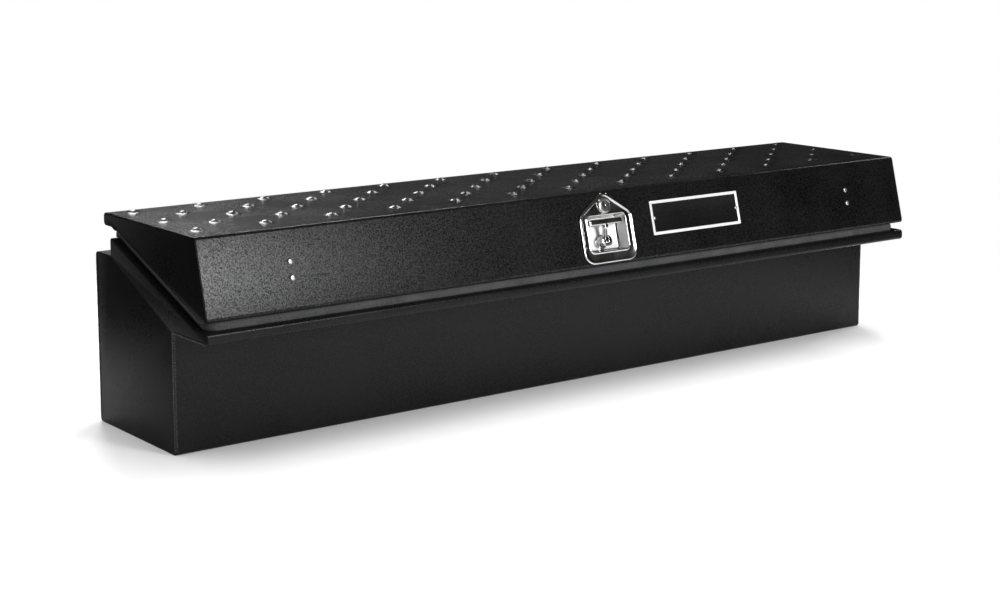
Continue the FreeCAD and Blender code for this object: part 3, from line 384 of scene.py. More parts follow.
grain_group = bpy.data.node_groups.new("surface_grain", "ShaderNodeTree")
for label in ("Grain", "Cloud"):
    grain_group.interface.new_socket(label, in_out="INPUT", socket_type="NodeSocketFloat")
for label in ("Height", "Mottle", "Haze"):
    grain_group.interface.new_socket(label, in_out="OUTPUT", socket_type="NodeSocketFloat")
grain_entry = grain_group.nodes.new("NodeGroupInput")
grain_exit = grain_group.nodes.new("NodeGroupOutput")
grain_scale = Reckon(grain_group, grain_entry.outputs["Grain"])
cloud_scale = Reckon(grain_group, grain_entry.outputs["Cloud"])
noise(grain_group, grain_scale, 3.0).into(grain_exit.inputs["Height"])
spread(noise(grain_group, grain_scale * 0.7), 0.0, 1.0, 0.38, 0.62).into(grain_exit.inputs["Mottle"])
spread(noise(grain_group, cloud_scale, 3.0), 0.0, 1.0).into(grain_exit.inputs["Haze"])


def grained(name, dark, light, size, depth, rough, rough_play=0.08, cloud=9.0, metallic=0.0, specular=0.5,
            sparkle=None):
    """Finish with a fine pebbled skin whose tone and gloss vary from grain to grain and in wide clouds."""
    material, shader = new_material(name, metallic, specular)
    node = material.node_tree.nodes.new("ShaderNodeGroup")
    node.node_tree = grain_group
    node.inputs["Grain"].default_value = 1 / size
    node.inputs["Cloud"].default_value = cloud
    height, mottle, haze = (Reckon(material.node_tree, node.outputs[k]) for k in ("Height", "Mottle", "Haze"))
    blended(mottle * 0.6 + haze * 0.4, dark, light, shader.inputs["Base Color"])
    ((mottle + haze) * rough_play + rough).into(shader.inputs["Roughness"])
    if sparkle:
        spread(mottle, *sparkle, 0.0, 1.0).into(shader.inputs["Coat Weight"])
        shader.inputs["Coat Roughness"].default_value = rough + rough_play
    bumped(height, shader, depth)
    return material


calm_coat = grained("calm_powder_coat", (0.003, 0.003, 0.0031), (0.008, 0.008, 0.0082),
                    1.8 * mm, 0.2 * mm, 0.24, rough_play=0.05, specular=0.17)

tub_line = folded_line(tub_corners, 1, sheet, fold_radius)
tub_rings = [[(x, p.x, p.y) for p in skins(tub_line, sheet)] for x in (-inner_half, inner_half)]
tub_wrap = placed("tub_shell", tube_mesh("tub_shell", tub_rings, sheet_ends=True))
finished(tub_wrap, "tub", calm_coat, "powder_coat", "tub_wrap")

# Tub end panels.
# Flat 3 mm plates cut to the tub's side view, with a stiffening flange turned in along the sloping
# edge. They close the wrap at both ends and are welded to it, then coated with it.

end_rim_width = 25 * mm
rim_end_radius = 14 * mm
fold_outer = fold_radius + sheet / 2
fold_inner = fold_radius - sheet / 2
flange_fold = 3 * mm
edge_radius = 1.1 * mm
slant = math.hypot(1, slope)
flange_leg = 7 * mm
flange_start = slope_front + 4 * mm
flange_end = slope_rear - 3 * mm


def rim(y):
    """Height of the tub's sloping rim."""
    return rim_front_top + (y - slope_front) * slope


def mirrored_x(mesh):
    """The same shape for the other end of the box."""
    twin = mesh.copy()
    twin.transform(Matrix.Scale(-1, 4, (1, 0, 0)))
    twin.flip_normals()
    return twin


def joined(name, pieces):
    """One mesh of several."""
    shape = bmesh.new()
    for mesh in pieces:
        shape.from_mesh(mesh)
    whole = bpy.data.meshes.new(name)
    shape.to_mesh(whole)
    shape.free()
    return whole


def edges_eased(mesh, width, segments=2, angle=40, kept=lambda edge: False):
    """Give a mesh's sharp edges, apart from those that are kept, the small radius that they have."""
    shape = bmesh.new()
    shape.from_mesh(mesh)
    limit = math.radians(angle)
    edges = [e for e in shape.edges if len(e.link_faces) == 2 and e.calc_face_angle() > limit and not kept(e)]
    bmesh.ops.bevel(shape, geom=edges, offset=width, segments=segments, profile=0.5, affect="EDGES",
                    clamp_overlap=True)
    shape.to_mesh(mesh)
    shape.free()
    return outward(mesh)


def flanged_panel(name, corners, radii, height, width, side):
    """End panel with its sloping edge bent inwards; side is 1 where the panel is below the slope."""
    drop = -side * flange_leg * slant
    step = [(flange_end, height(flange_end)), (flange_end, height(flange_end) + drop),
            (flange_start, height(flange_start) + drop), (flange_start, height(flange_start))]
    outline = rounded(corners + step, radii + [0] * 4)
    panel = tube_mesh(name, [[(x, p.x, p.y) for p in outline] for x in (inner_half, half)])

    def under_flange(edge):
        return all(abs(v.co.z - height(v.co.y) - drop) < 0.01 * mm for v in edge.verts)

    edges_eased(panel, edge_radius, 3, kept=under_flange)
    line = folded_line([(half, -side * flange_leg), (half, 0), (half - width, 0)], side, sheet, flange_fold)
    rings = [[(p.x, y, height(y) + p.y * slant) for p in skins(line, sheet)] for y in (flange_start, flange_end)]
    return joined(name, [panel, tube_mesh(name + "_flange", rings, sheet_ends=True)])


smooth_coat = grained("smooth_powder_coat", (0.004, 0.004, 0.0043), (0.008, 0.008, 0.0083),
                      2.2 * mm, 0.15 * mm, 0.25, rough_play=0.05, specular=0.05)
tub_end_radii = [rim_end_radius, fold_outer, fold_outer, fold_inner, fold_outer]
tub_end_radii += [fold_outer, fold_outer, fold_inner, fold_outer, rim_end_radius]
tub_end = flanged_panel("tub_end", tub_corners, tub_end_radii, rim, end_rim_width, 1)
for side, mesh in (("right", tub_end), ("left", mirrored_x(tub_end))):
    finished(placed("tub_end_panel_" + side, mesh), "tub", smooth_coat, "powder_coat", "tub_end_" + side)

# Corner welds.
# Beads laid by hand along the corners between the end panels and the wrap, under the rail flange, down
# the front and up the back. Their ripples are about 4 mm apart and show through the coat.

bead_radius = 3.1 * mm
bead_inset = 2 * mm
bead_step = 0.6 * mm
ripple_pitch = 4.4 * mm
ripple_depth = 0.34


def new_tree(name, numbers):
    """Geometry tree with a geometry, named numbers and a finish; gives back its ends and its numbers."""
    tree = bpy.data.node_groups.new(name, "GeometryNodeTree")
    tree.interface.new_socket("Geometry", in_out="INPUT", socket_type="NodeSocketGeometry")
    for label, value in numbers.items():
        kind = "NodeSocketInt" if isinstance(value, int) else "NodeSocketFloat"
        tree.interface.new_socket(label, in_out="INPUT", socket_type=kind).default_value = value
    tree.interface.new_socket("Finish", in_out="INPUT", socket_type="NodeSocketMaterial")
    tree.interface.new_socket("Geometry", in_out="OUTPUT", socket_type="NodeSocketGeometry")
    entry = tree.nodes.new("NodeGroupInput")
    return tree, entry, {label: Reckon(tree, entry.outputs[label]) for label in numbers}


def chained(tree, socket, kind, plug_in=0, plug_out=0):
    """Next node on a run of geometry; gives back the node and its output."""
    node = tree.nodes.new(kind)
    tree.links.new(socket, node.inputs[plug_in])
    return node, node.outputs[plug_out]


def closed_off(tree, entry, socket):
    """End a tree: instances made real and the finish set."""
    _, real = chained(tree, socket, "GeometryNodeRealizeInstances")
    paint, painted = chained(tree, real, "GeometryNodeSetMaterial")
    tree.links.new(entry.outputs["Finish"], paint.inputs["Material"])
    tree.links.new(painted, tree.nodes.new("NodeGroupOutput").inputs[0])


def grown(piece, tree, settings):
    """Run a tree on a piece with its own settings and keep the mesh."""
    tool = piece.modifiers.new(tree.name, "NODES")
    tool.node_group = tree
    for item in tree.interface.items_tree:
        if item.in_out == "INPUT" and item.name in settings:
            tool[item.identifier] = settings[item.name]
    applied(piece)
    outward(piece.data)
    return piece


bead_numbers = {"Step": bead_step, "Radius": bead_radius, "Pitch": ripple_pitch, "Depth": ripple_depth,
                "Sides": 12, "Seed": 4.0}
coated_weld = grained("coated_weld", (0.006, 0.006, 0.0063), (0.014, 0.014, 0.0143), 3 * mm, 0.1 * mm, 0.26,
                      rough_play=0.05, specular=0.45)
bead_tree, entry, given = new_tree("rippled_bead", bead_numbers)
_, curve = chained(bead_tree, entry.outputs["Geometry"], "GeometryNodeMeshToCurve")
resample, curve = chained(bead_tree, curve, "GeometryNodeResampleCurve")
resample.mode = "LENGTH"
given["Step"].into(resample.inputs["Length"])
along = Reckon(bead_tree, bead_tree.nodes.new("GeometryNodeSplineParameter").outputs["Length"])
wander = bead_tree.nodes.new("ShaderNodeTexNoise")
wander.noise_dimensions = "4D"
wander.inputs["Scale"].default_value = 110.0
given["Seed"].into(wander.inputs["W"])
drift = Reckon(bead_tree, wander.outputs["Fac"]) - 0.5
wave = (along / given["Pitch"] + drift * 0.8).step("FRACT")
scallop = (wave * -1.0 + 1.0).step("POWER", 0.6) + drift * 0.5 - 1.0
sweep, bead = chained(bead_tree, curve, "GeometryNodeCurveToMesh")
(given["Radius"] * (scallop * given["Depth"] + 1.0)).into(sweep.inputs["Scale"])
circle = bead_tree.nodes.new("GeometryNodeCurvePrimitiveCircle")
circle.inputs["Radius"].default_value = 1.0
given["Sides"].into(circle.inputs["Resolution"])
bead_tree.links.new(circle.outputs[0], sweep.inputs["Profile Curve"])
sweep.inputs["Fill Caps"].default_value = True
closed_off(bead_tree, entry, bead)

front_run = [(lip_front + fold_outer, rail_height + bead_inset), (tub_front + bead_inset, rail_height + bead_inset),
             (tub_front + bead_inset, 5 * mm)]
back_run = [(tub_back - bead_inset, fold_outer), (tub_back - bead_inset, shelf_height - fold_outer)]


def weld_bead(run, seed):
    """Rippled bead along a run of straight lines and small arcs at the right-hand corner."""
    points = [(half - bead_inset, p.x, p.y) for p, _ in eased_line(run, fold_inner)]
    line = bpy.data.meshes.new("bead_line")
    line.from_pydata(points, [(k, k + 1) for k in range(len(points) - 1)], [])
    piece = grown(placed("bead", line), bead_tree, {**bead_numbers, "Seed": seed, "Finish": coated_weld})
    mesh = piece.data
    bpy.data.objects.remove(piece)
    return mesh


beads = {"right": joined("weld_right", [weld_bead(front_run, 4.0), weld_bead(back_run, 9.0)]),
         "left": mirrored_x(joined("weld_left", [weld_bead(front_run, 17.0), weld_bead(back_run, 23.0)]))}
for side, mesh in beads.items():
    finished(placed("corner_weld_" + side, mesh), "tub", coated_weld, "powder_coat", "tub_weld_" + side, angle=60)

# Foam seal.
# Grey sponge strip with a crowned top, stuck on the tub's rim: one length along the front, one round
# each corner and up the slope, and one along the rear. The lengths butt together at plain cuts.

seal_gap = 14 * mm
seal_width = 15 * mm
seal_height = 13.7 * mm
seal_inset = 10 * mm
seal_corner_radius = 12 * mm
seal_joint = 632 * mm
seal_butt = 0.4 * mm
rear_seal_width = 12 * mm
rear_seal_height = 17.7 * mm
seal_end_gap = 2 * mm
foam_edge = 1 * mm
foam_round = 7.2 * mm

sponge = grained("sponge_foam", (0.045, 0.046, 0.048), (0.1, 0.101, 0.103), 1.1 * mm, 0.5 * mm, 0.92,
                 cloud=26.0, specular=0.15)
seal_line_y = lip_front + seal_inset + seal_width / 2
seal_line_x = half - seal_inset - seal_width / 2


def foam_section(width, height):
    """Strip with a rounded top."""
    reach = width / 2
    corners = [(-reach, 0), (reach, 0), (reach, height), (-reach, height)]
    return rounded(corners, [foam_edge, foam_edge, foam_round, foam_round], 8)


def foam_strip(name, path, heights, width, height):
    """Strip swept along a path seen from above, at a height given for each point."""
    rings = [[(p.x + n.x * q.x, p.y + n.y * q.x, z + q.y) for q in foam_section(width, height)]
             for (p, n), z in zip(path, heights)]
    return tube_mesh(name, rings)


def climbing(y):
    """Height of the rim that the seal lies on."""
    return rim(min(max(y, slope_front), slope_rear))


side_path = eased_line([(seal_joint + seal_butt, seal_line_y), (seal_line_x, seal_line_y),
                        (seal_line_x, slope_rear)], seal_corner_radius, 12)
side_path.append((Vector((seal_line_x, riser - seal_end_gap)), side_path[-1][1]))
side_seal = foam_strip("seal_side", side_path, [climbing(p.y) for p, _ in side_path], seal_width, seal_height)
front_path = eased_line([(-seal_joint, seal_line_y), (seal_joint, seal_line_y)], 0)
rear_y = (riser + slope_rear) / 2
rear_reach = seal_line_x - seal_width / 2 - seal_butt
rear_path = eased_line([(-rear_reach, rear_y), (rear_reach, rear_y)], 0)
seals = {"front": foam_strip("seal_front_strip", front_path, [rim_front_top] * 2, seal_width, seal_height),
         "rear": foam_strip("seal_rear_strip", rear_path, [riser_top] * 2, rear_seal_width, rear_seal_height),
         "right": side_seal, "left": mirrored_x(side_seal)}
for side, mesh in seals.items():
    finished(placed("foam_seal_" + side, mesh), "tub", sponge, "seal_rubber", "seal_" + side)

# Continuous hinge.
# Two pressed stainless leaves whose knuckles interlock along a steel pin. One leaf is riveted to the
# tub's riser and the other under the lid's rear return.

hinge_length = 1480 * mm
knuckle_count = 21
knuckle_radius = 4 * mm
knuckle_gap = 0.5 * mm
pin_radius = 2.5 * mm
running_fit = 0.05 * mm
leaf = 1.5 * mm
leaf_drop = 34 * mm
leaf_clearance = 0.4 * mm
hinge_rivet_count = 7
hinge_rivet_end = 30 * mm
hinge_rivet_radius = 3 * mm
hinge_rivet_height = 1.2 * mm
pin_overhang = 2 * mm
tub_rivet_drop = 22 * mm
lid_rear = 97 * mm
lid_rear_bottom = 329 * mm
lid_rivet_inset = 8.5 * mm

hinge_y = riser + knuckle_radius + leaf_clearance
hinge_z = lid_rear_bottom - knuckle_radius - leaf_clearance
knuckle_pitch = hinge_length / knuckle_count

bright_steel = grained("bright_stainless", (0.42, 0.42, 0.43), (0.6, 0.6, 0.61), 1.6 * mm, 0.02 * mm, 0.24,
                       cloud=40.0, metallic=1.0)


def lathed(name, stations, sides=32, closed=False):
    """Turned piece on the Z axis; each station is a radius and a height."""
    rings = []
    for radius, height in stations:
        angles = [2 * math.pi * k / sides for k in range(sides)]
        rings.append([(radius * math.cos(a), radius * math.sin(a), height) for a in angles])
    return tube_mesh(name, rings, closed)


def eased_stations(stations, radius, steps=3):
    return [(p.x, p.y) for p, _ in eased_line(stations, radius, steps)]


def moved(mesh, matrix):
    mesh.transform(matrix)
    return mesh


def axes(place, right, up, out):
    """Matrix that takes a shape's X, Y and Z to three directions at a place."""
    turn = Matrix((Vector(right), Vector(up), Vector(out))).transposed().to_4x4()
    return Matrix.Translation(place) @ turn


row_numbers = {"Columns": 2, "Rows": 1, "Width": 1.0, "Height": 0.0}
row_tree, entry, given = new_tree("set_out_in_rows", row_numbers)
grid = row_tree.nodes.new("GeometryNodeMeshGrid")
for label, socket in (("Columns", "Vertices X"), ("Rows", "Vertices Y"), ("Width", "Size X"), ("Height", "Size Y")):
    given[label].into(grid.inputs[socket])
setting, copies = chained(row_tree, grid.outputs[0], "GeometryNodeInstanceOnPoints")
row_tree.links.new(entry.outputs["Geometry"], setting.inputs["Instance"])
closed_off(row_tree, entry, copies)


def in_rows(template, columns, rows, width, height, finish, place):
    """Copies of a small mesh on a grid, taken to their place."""
    settings = {"Columns": columns, "Rows": rows, "Width": width, "Height": height, "Finish": finish}
    piece = grown(placed("row", template), row_tree, settings)
    mesh = moved(piece.data, place)
    bpy.data.objects.remove(piece)
    return mesh


def rivet_head(radius, height, shank=1.6 * mm, depth=4 * mm, sides=20, dimple=0.0):
    """Low domed head on the Z side of the sheet, with the pulled pin's small pit, and a shank."""
    stations = [(0, -depth), (shank, -depth), (shank, 0), (radius * 0.97, 0), (radius, height * 0.16)]
    for k in range(1, 6):
        angle = math.radians(18 * k)
        stations.append((radius * math.cos(angle) + dimple * k / 5, height * (0.16 + 0.84 * math.sin(angle))))
    if dimple:
        stations += [(dimple * 0.8, height * 0.8), (dimple * 0.5, height * 0.75)]
    stations.append((0, stations[-1][1]))
    return lathed("rivet_head", stations, sides)


def knuckle_row(first):
    """Every second knuckle of the hinge, from the first or the second."""
    length = knuckle_pitch - knuckle_gap
    bore = pin_radius + running_fit
    ease = 0.35 * mm
    stations = [(bore, -length / 2), (knuckle_radius - ease, -length / 2), (knuckle_radius, ease - length / 2),
                (knuckle_radius, length / 2 - ease), (knuckle_radius - ease, length / 2), (bore, length / 2)]
    template = lathed("knuckle", stations, 24, closed=True)
    moved(template, Matrix.Rotation(math.pi / 2, 4, "Y"))
    count = (knuckle_count + 1 - first) // 2
    spread_over = (count - 1) * 2 * knuckle_pitch
    return in_rows(template, count, 1, spread_over, 0.0, bright_steel, Matrix.Translation((0, hinge_y, hinge_z)))


def leaf_plate(first, reach, tab):
    """Leaf seen square on, with a tab at each of its knuckles: X along the hinge, Y towards the pin."""
    outline = [Vector((-hinge_length / 2, reach)), Vector((hinge_length / 2, reach))]
    for i in reversed(range(first, knuckle_count, 2)):
        start = -hinge_length / 2 + i * knuckle_pitch + knuckle_gap / 2
        end = start + knuckle_pitch - knuckle_gap
        outline += [Vector((end, -knuckle_radius - knuckle_gap)), Vector((end, tab)), Vector((start, tab)),
                    Vector((start, -knuckle_radius - knuckle_gap))]
    if first:
        edge = -knuckle_radius - knuckle_gap
        outline.insert(2, Vector((hinge_length / 2, edge)))
        outline.append(Vector((-hinge_length / 2, edge)))
    return [[(p.x, p.y, z) for p in outline] for z in (0, leaf)]


tub_leaf = tube_mesh("tub_leaf", leaf_plate(0, -leaf_drop, 0))
moved(tub_leaf, axes((0, riser + leaf, hinge_z), (1, 0, 0), (0, 0, 1), (0, -1, 0)))
lid_leaf = tube_mesh("lid_leaf", leaf_plate(1, -(lid_rear - 1 * mm - hinge_y), 0))
moved(lid_leaf, axes((0, hinge_y, lid_rear_bottom - leaf), (1, 0, 0), (0, -1, 0), (0, 0, 1)))
outward(lid_leaf)
for body, mesh, first in (("tub", tub_leaf, 0), ("lid", lid_leaf, 1)):
    whole = joined("hinge_leaf", [mesh, knuckle_row(first)])
    finished(placed("hinge_half_" + body, whole), body, bright_steel, "bright_stainless", "hinge_leaf_" + body)

pin_reach = hinge_length / 2 + pin_overhang
pin_ease = 0.8 * mm
pin_stations = [(pin_radius - pin_ease, -pin_reach), (pin_radius, pin_ease - pin_reach),
                (pin_radius, pin_reach - pin_ease), (pin_radius - pin_ease, pin_reach)]
hinge_pin = moved(lathed("pin", pin_stations, 24),
                  Matrix.Translation((0, hinge_y, hinge_z)) @ Matrix.Rotation(math.pi / 2, 4, "Y"))
finished(placed("hinge_pin_rod", hinge_pin), "tub", bright_steel, "bright_stainless", "hinge_pin")

rivet_rows = {
    "tub": axes((0, riser + leaf, hinge_z - tub_rivet_drop), (-1, 0, 0), (0, 0, 1), (0, 1, 0)),
    "lid": axes((0, lid_rear - lid_rivet_inset, lid_rear_bottom - leaf), (1, 0, 0), (0, -1, 0), (0, 0, -1)),
}
for body, place in rivet_rows.items():
    head = rivet_head(hinge_rivet_radius, hinge_rivet_height, depth=7 * mm)
    row = in_rows(head, hinge_rivet_count, 1, hinge_length - 2 * hinge_rivet_end, 0.0, bright_steel, place)
    finished(placed("hinge_riveting_" + body, row), body, bright_steel, "bright_stainless",
             "hinge_rivets_" + body, angle=50)

# Fittings inside.
# Zinc-plated steel pieces that the frame's own solids already have in full: strikes, gas spring
# brackets, rod guides, the lock's pawl, the cam and the nuts. Here they get eased edges and plating.

zinc = grained("zinc_plate", (0.33, 0.34, 0.35), (0.56, 0.57, 0.58), 1.4 * mm, 0.03 * mm, 0.34,
               cloud=70.0, metallic=1.0)


def dressed(node, body, width=0.3 * mm):
    """Copy of a CAD piece with eased edges and a finish."""
    shape = bmesh.new()
    shape.from_mesh(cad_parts[node].data)
    bmesh.ops.remove_doubles(shape, verts=shape.verts, dist=0.004 * mm)
    bmesh.ops.dissolve_limit(shape, angle_limit=math.radians(1), verts=shape.verts, edges=shape.edges)
    mesh = bpy.data.meshes.new(node)
    shape.to_mesh(mesh)
    shape.free()
    edges_eased(mesh, width, 2, 50)
    finished(placed(node + "_plated", mesh), body, zinc, "zinc_steel", node, angle=48)


for node in ("strike_left", "strike_right", "strut_bracket_tub_left", "strut_bracket_tub_right"):
    dressed(node, "tub")
for node in ("strut_bracket_lid_left", "strut_bracket_lid_right", "rod_guide_left", "rod_guide_right", "latch_nuts"):
    dressed(node, "lid")
for node in ("cam_plate", "cam_nut"):
    dressed(node, "spindle")
dressed("lock_pawl", "key_plug")

# Lid wrap.
# One folded 3 mm sheet: inward return, slanted front, top, rear skirt and rear return. Five staggered
# rows of round dimples are pressed up in the top, which stiffens it and gives it grip.

lid_top = 349.5 * mm
lid_top_front = -203.5 * mm
lid_front = -236 * mm
lid_front_bottom = 224 * mm
dimple_pitch = 120.65 * mm
dimple_row_pitch = 53 * mm
dimple_rows = 5
dimple_first_row = -143 * mm
dimple_radius = 13 * mm
dimple_height = 4 * mm
dimple_cell = dimple_pitch / 2
cell_columns = 25
cell_steps = 7
row_front = 31 * mm
row_back = dimple_row_pitch - row_front

latch_x = 21.5 * mm
pocket_s = 73.2 * mm
pocket_width = 84 * mm
pocket_height = 62 * mm
pocket_opening_grow = 2.2 * mm

lid_corners = [
    (slope_front - 0.4 * mm, lid_front_bottom), (lid_front, lid_front_bottom), (lid_top_front, lid_top),
    (lid_rear, lid_top), (lid_rear, lid_rear_bottom), (slope_rear - 1 * mm, lid_rear_bottom),
]
face_tilt = math.atan2(lid_top_front - lid_front, lid_top - lid_front_bottom)
front_up = Vector((0, math.sin(face_tilt), math.cos(face_tilt)))
front_out = Vector((0, -math.cos(face_tilt), math.sin(face_tilt)))


def on_front(x, s):
    """Matrix that stands a shape on the lid's front: X along it, Y up it and Z out of it."""
    return axes(Vector((x, lid_top_front, lid_top)) - front_up * s, (1, 0, 0), front_up, front_out)


def block(name, low, high):
    """Plain cutter between two corners."""
    mesh = bpy.data.meshes.new(name)
    shape = bmesh.new()
    bmesh.ops.create_cube(shape, size=1.0)
    shape.to_mesh(mesh)
    shape.free()
    size = Vector(high) - Vector(low)
    return moved(mesh, Matrix.Translation((Vector(low) + Vector(high)) / 2) @ Matrix.Diagonal((*size, 1)))


def cut(mesh, *cutters):
    """Take the cutters out of a closed mesh."""
    piece = placed("stock", mesh)
    tools = [placed("cutter", cutter) for cutter in cutters]
    for tool in tools:
        step = piece.modifiers.new("cut", "BOOLEAN")
        step.object = tool
        step.solver = "EXACT"
    applied(piece)
    left = piece.data
    for item in [piece] + tools:
        bpy.data.objects.remove(item)
    return left


def pressed_line():
    """Lid section with a close run of points under each row of dimples."""
    line = folded_line(lid_corners, -1, sheet, fold_radius)
    up = Vector((0, 1))
    found = []
    for i, (point, aside) in enumerate(line):
        found.append((point, aside))
        flat_starts = aside.y > 0.9999 and point.y > lid_top - sheet and i + 1 < len(line)
        if flat_starts and line[i + 1][0].x - point.x > dimple_row_pitch:
            for row in range(dimple_rows):
                middle = dimple_first_row + row * dimple_row_pitch
                for k in range(-cell_steps, cell_steps):
                    reach = row_front if k < 0 else row_back
                    found.append((Vector((middle + reach * k / cell_steps, point.y)), up))
    return found


stations = [-inner_half]
for k in range(cell_columns * 2 * cell_steps + 1):
    stations.append((k / (2 * cell_steps) - cell_columns / 2) * dimple_cell)
stations.append(inner_half)
lid_rings = [[(x, p.x, p.y) for p in skins(pressed_line(), sheet)] for x in stations]
lid_mesh = tube_mesh("lid_shell", lid_rings, sheet_ends=True)
opening_x = pocket_width / 2 + pocket_opening_grow
opening_y = pocket_height / 2 + pocket_opening_grow
opening = block("opening", (-opening_x, -opening_y, -3 * sheet), (opening_x, opening_y, 2 * sheet))
lid_mesh = cut(lid_mesh, moved(opening, on_front(latch_x, pocket_s)))

press_numbers = {"Cell": dimple_cell, "Row pitch": dimple_row_pitch, "First row": dimple_first_row,
                 "Row front": row_front, "Row back": row_back, "Radius": dimple_radius,
                 "Height": dimple_height, "Top": lid_top - 1.5 * sheet}
press, entry, given = new_tree("pressed_dimples", press_numbers)
parted = press.nodes.new("ShaderNodeSeparateXYZ")
press.links.new(press.nodes.new("GeometryNodeInputPosition").outputs[0], parted.inputs[0])
x, y, z = (Reckon(press, parted.outputs[k]) for k in range(3))
column = (x / given["Cell"]).step("ROUND")
row = ((y - given["First row"] + given["Row front"]) / given["Row pitch"]).step("FLOOR")
row = row.step("MAXIMUM", 0.0).step("MINIMUM", dimple_rows - 1.0)
middle_x = column * given["Cell"]
middle_y = row * given["Row pitch"] + given["First row"]
u = (x - middle_x) / (given["Cell"] * 0.5)
off_y = y - middle_y
behind = off_y.step("GREATER_THAN", 0.0)
v = (off_y / given["Row back"]) * behind + (off_y / given["Row front"]) * (behind * -1.0 + 1.0)
ring = u.step("ABSOLUTE").step("MAXIMUM", v.step("ABSOLUTE"))
spoke = (u * u + v * v).step("SQRT").step("MAXIMUM", 1e-6)
share = ring * (cell_steps / (cell_steps - 2.0))
inside = (share * share * -1.0 + 1.0).step("MAXIMUM", 0.0)
rise = inside.step("POWER", 1.25) * given["Height"]
chosen = ((column + row).step("PINGPONG", 1.0) * -1.0 + 1.0).step("GREATER_THAN", 0.5)
chosen = chosen * ring.step("LESS_THAN", 1.0 - 0.5 / cell_steps) * z.step("GREATER_THAN", given["Top"])
chosen = chosen * x.step("ABSOLUTE").step("LESS_THAN", cell_columns / 2 * dimple_cell)
target = press.nodes.new("ShaderNodeCombineXYZ")
(middle_x + u / spoke * share * given["Radius"]).into(target.inputs[0])
(middle_y + v / spoke * share * given["Radius"]).into(target.inputs[1])
(z + rise).into(target.inputs[2])
pressing, pressed = chained(press, entry.outputs["Geometry"], "GeometryNodeSetPosition")
chosen.into(pressing.inputs["Selection"])
press.links.new(target.outputs[0], pressing.inputs["Position"])
closed_off(press, entry, pressed)
textured_coat = grained("textured_powder_coat", (0.001, 0.001, 0.0011), (0.01, 0.01, 0.0103),
                        1.6 * mm, 0.2 * mm, 0.22, rough_play=0.07, specular=0.03, sparkle=(0.13, 0.55))
lid_shell = grown(placed("lid_shell", lid_mesh), press, {**press_numbers, "Finish": textured_coat})
level_coat = grained("level_powder_coat", (0.0007, 0.0007, 0.0008), (0.013, 0.013, 0.0133),
                     1.5 * mm, 0.09 * mm, 0.2, rough_play=0.05, specular=0.17)
lid_shell.data.materials.append(level_coat)
for face in lid_shell.data.polygons:
    face.material_index = 1 if face.center.z > lid_top - 0.1 * mm else 0
finished(lid_shell, "lid", None, "powder_coat", "lid_wrap")

# Lid end panels.
# Flat plates in the shape of the wedge, with rounded rear corners and a flange turned in along the
# sloping lower edge, which presses on the seal. They are welded into the wrap and ground smooth.

lid_rear_corner = 6.5 * mm
lid_return_width = 20 * mm
lid_slope_rear = slope_front + (lid_rear_bottom - lid_front_bottom) / slope
lid_end_corners = [
    (slope_front, lid_front_bottom), (lid_front, lid_front_bottom), (lid_top_front, lid_top),
    (lid_rear, lid_top), (lid_rear, lid_rear_bottom), (lid_slope_rear, lid_rear_bottom),
]
lid_end_radii = [rim_end_radius, fold_outer, fold_outer, lid_rear_corner, lid_rear_corner, rim_end_radius]
lid_end = flanged_panel("lid_end", lid_end_corners, lid_end_radii, lambda y: rim(y) + seal_gap,
                        lid_return_width, -1)
for side, mesh in (("right", lid_end), ("left", mirrored_x(lid_end))):
    finished(placed("lid_end_panel_" + side, mesh), "lid", smooth_coat, "powder_coat", "lid_end_" + side)

# Lid stiffener.
# A hat channel of 2 mm aluminium, bonded under the middle of the lid's top before coating.

channel_y = -53 * mm
channel_crown = 15 * mm
channel_wide = 19 * mm
channel_foot = 32 * mm
channel_drop = 16 * mm
channel_length = 1380 * mm
channel_gauge = 2 * mm
channel_fold = 2.5 * mm

under_top = lid_top - sheet
channel_corners = [
    (channel_y - channel_foot, under_top), (channel_y - channel_wide, under_top),
    (channel_y - channel_crown, under_top - channel_drop), (channel_y + channel_crown, under_top - channel_drop),
    (channel_y + channel_wide, under_top), (channel_y + channel_foot, under_top),
]
channel_line = folded_line(channel_corners, -1, channel_gauge, channel_fold)
channel_rings = [[(x, p.x, p.y) for p in skins(channel_line, channel_gauge)]
                 for x in (-channel_length / 2, channel_length / 2)]
finished(placed("lid_channel", tube_mesh("lid_channel", channel_rings, sheet_ends=True)),
         "lid", textured_coat, "powder_coat", "lid_stiffener")

# Latch dish and its gasket.
# A house-shaped pan of polished stainless steel, pressed with a rolled bead round its edge and another
# round a deep pocket for the handle. It is bolted to the lid's front over a thin rubber gasket.

gasket = 0.8 * mm
pan = 1.2 * mm
latch_width = 119 * mm
latch_bottom = 124.5 * mm
latch_shoulder = 40 * mm
latch_apex = 0.5 * mm
latch_corner_radii = (20 * mm, 22 * mm, 22 * mm, 22 * mm, 22 * mm)
pocket_depth = 24 * mm
pocket_corner = 7 * mm
pocket_fillet = 5 * mm
pocket_draft = 1 * mm
flange_face = gasket + pan

rubber = grained("gasket_rubber", (0.009, 0.009, 0.009), (0.018, 0.018, 0.018), 0.9 * mm, 0.05 * mm, 0.62)
polished = grained("polished_stainless", (0.6, 0.58, 0.565), (0.76, 0.755, 0.75), 26 * mm, 0.35 * mm, 0.07,
                   rough_play=0.05, cloud=18.0, metallic=1.0)
# The pocket's floor is a paler, rougher copy of the polished steel: satin, with a painted reflection of the white room
# in its pale tone.
satin_with_painted_reflection = grained("satin_stainless_painted_reflection", (0.84, 0.85, 0.87), (0.93, 0.94, 0.95), 18 * mm, 0.5 * mm, 0.42,
                cloud=30.0, metallic=0.85)


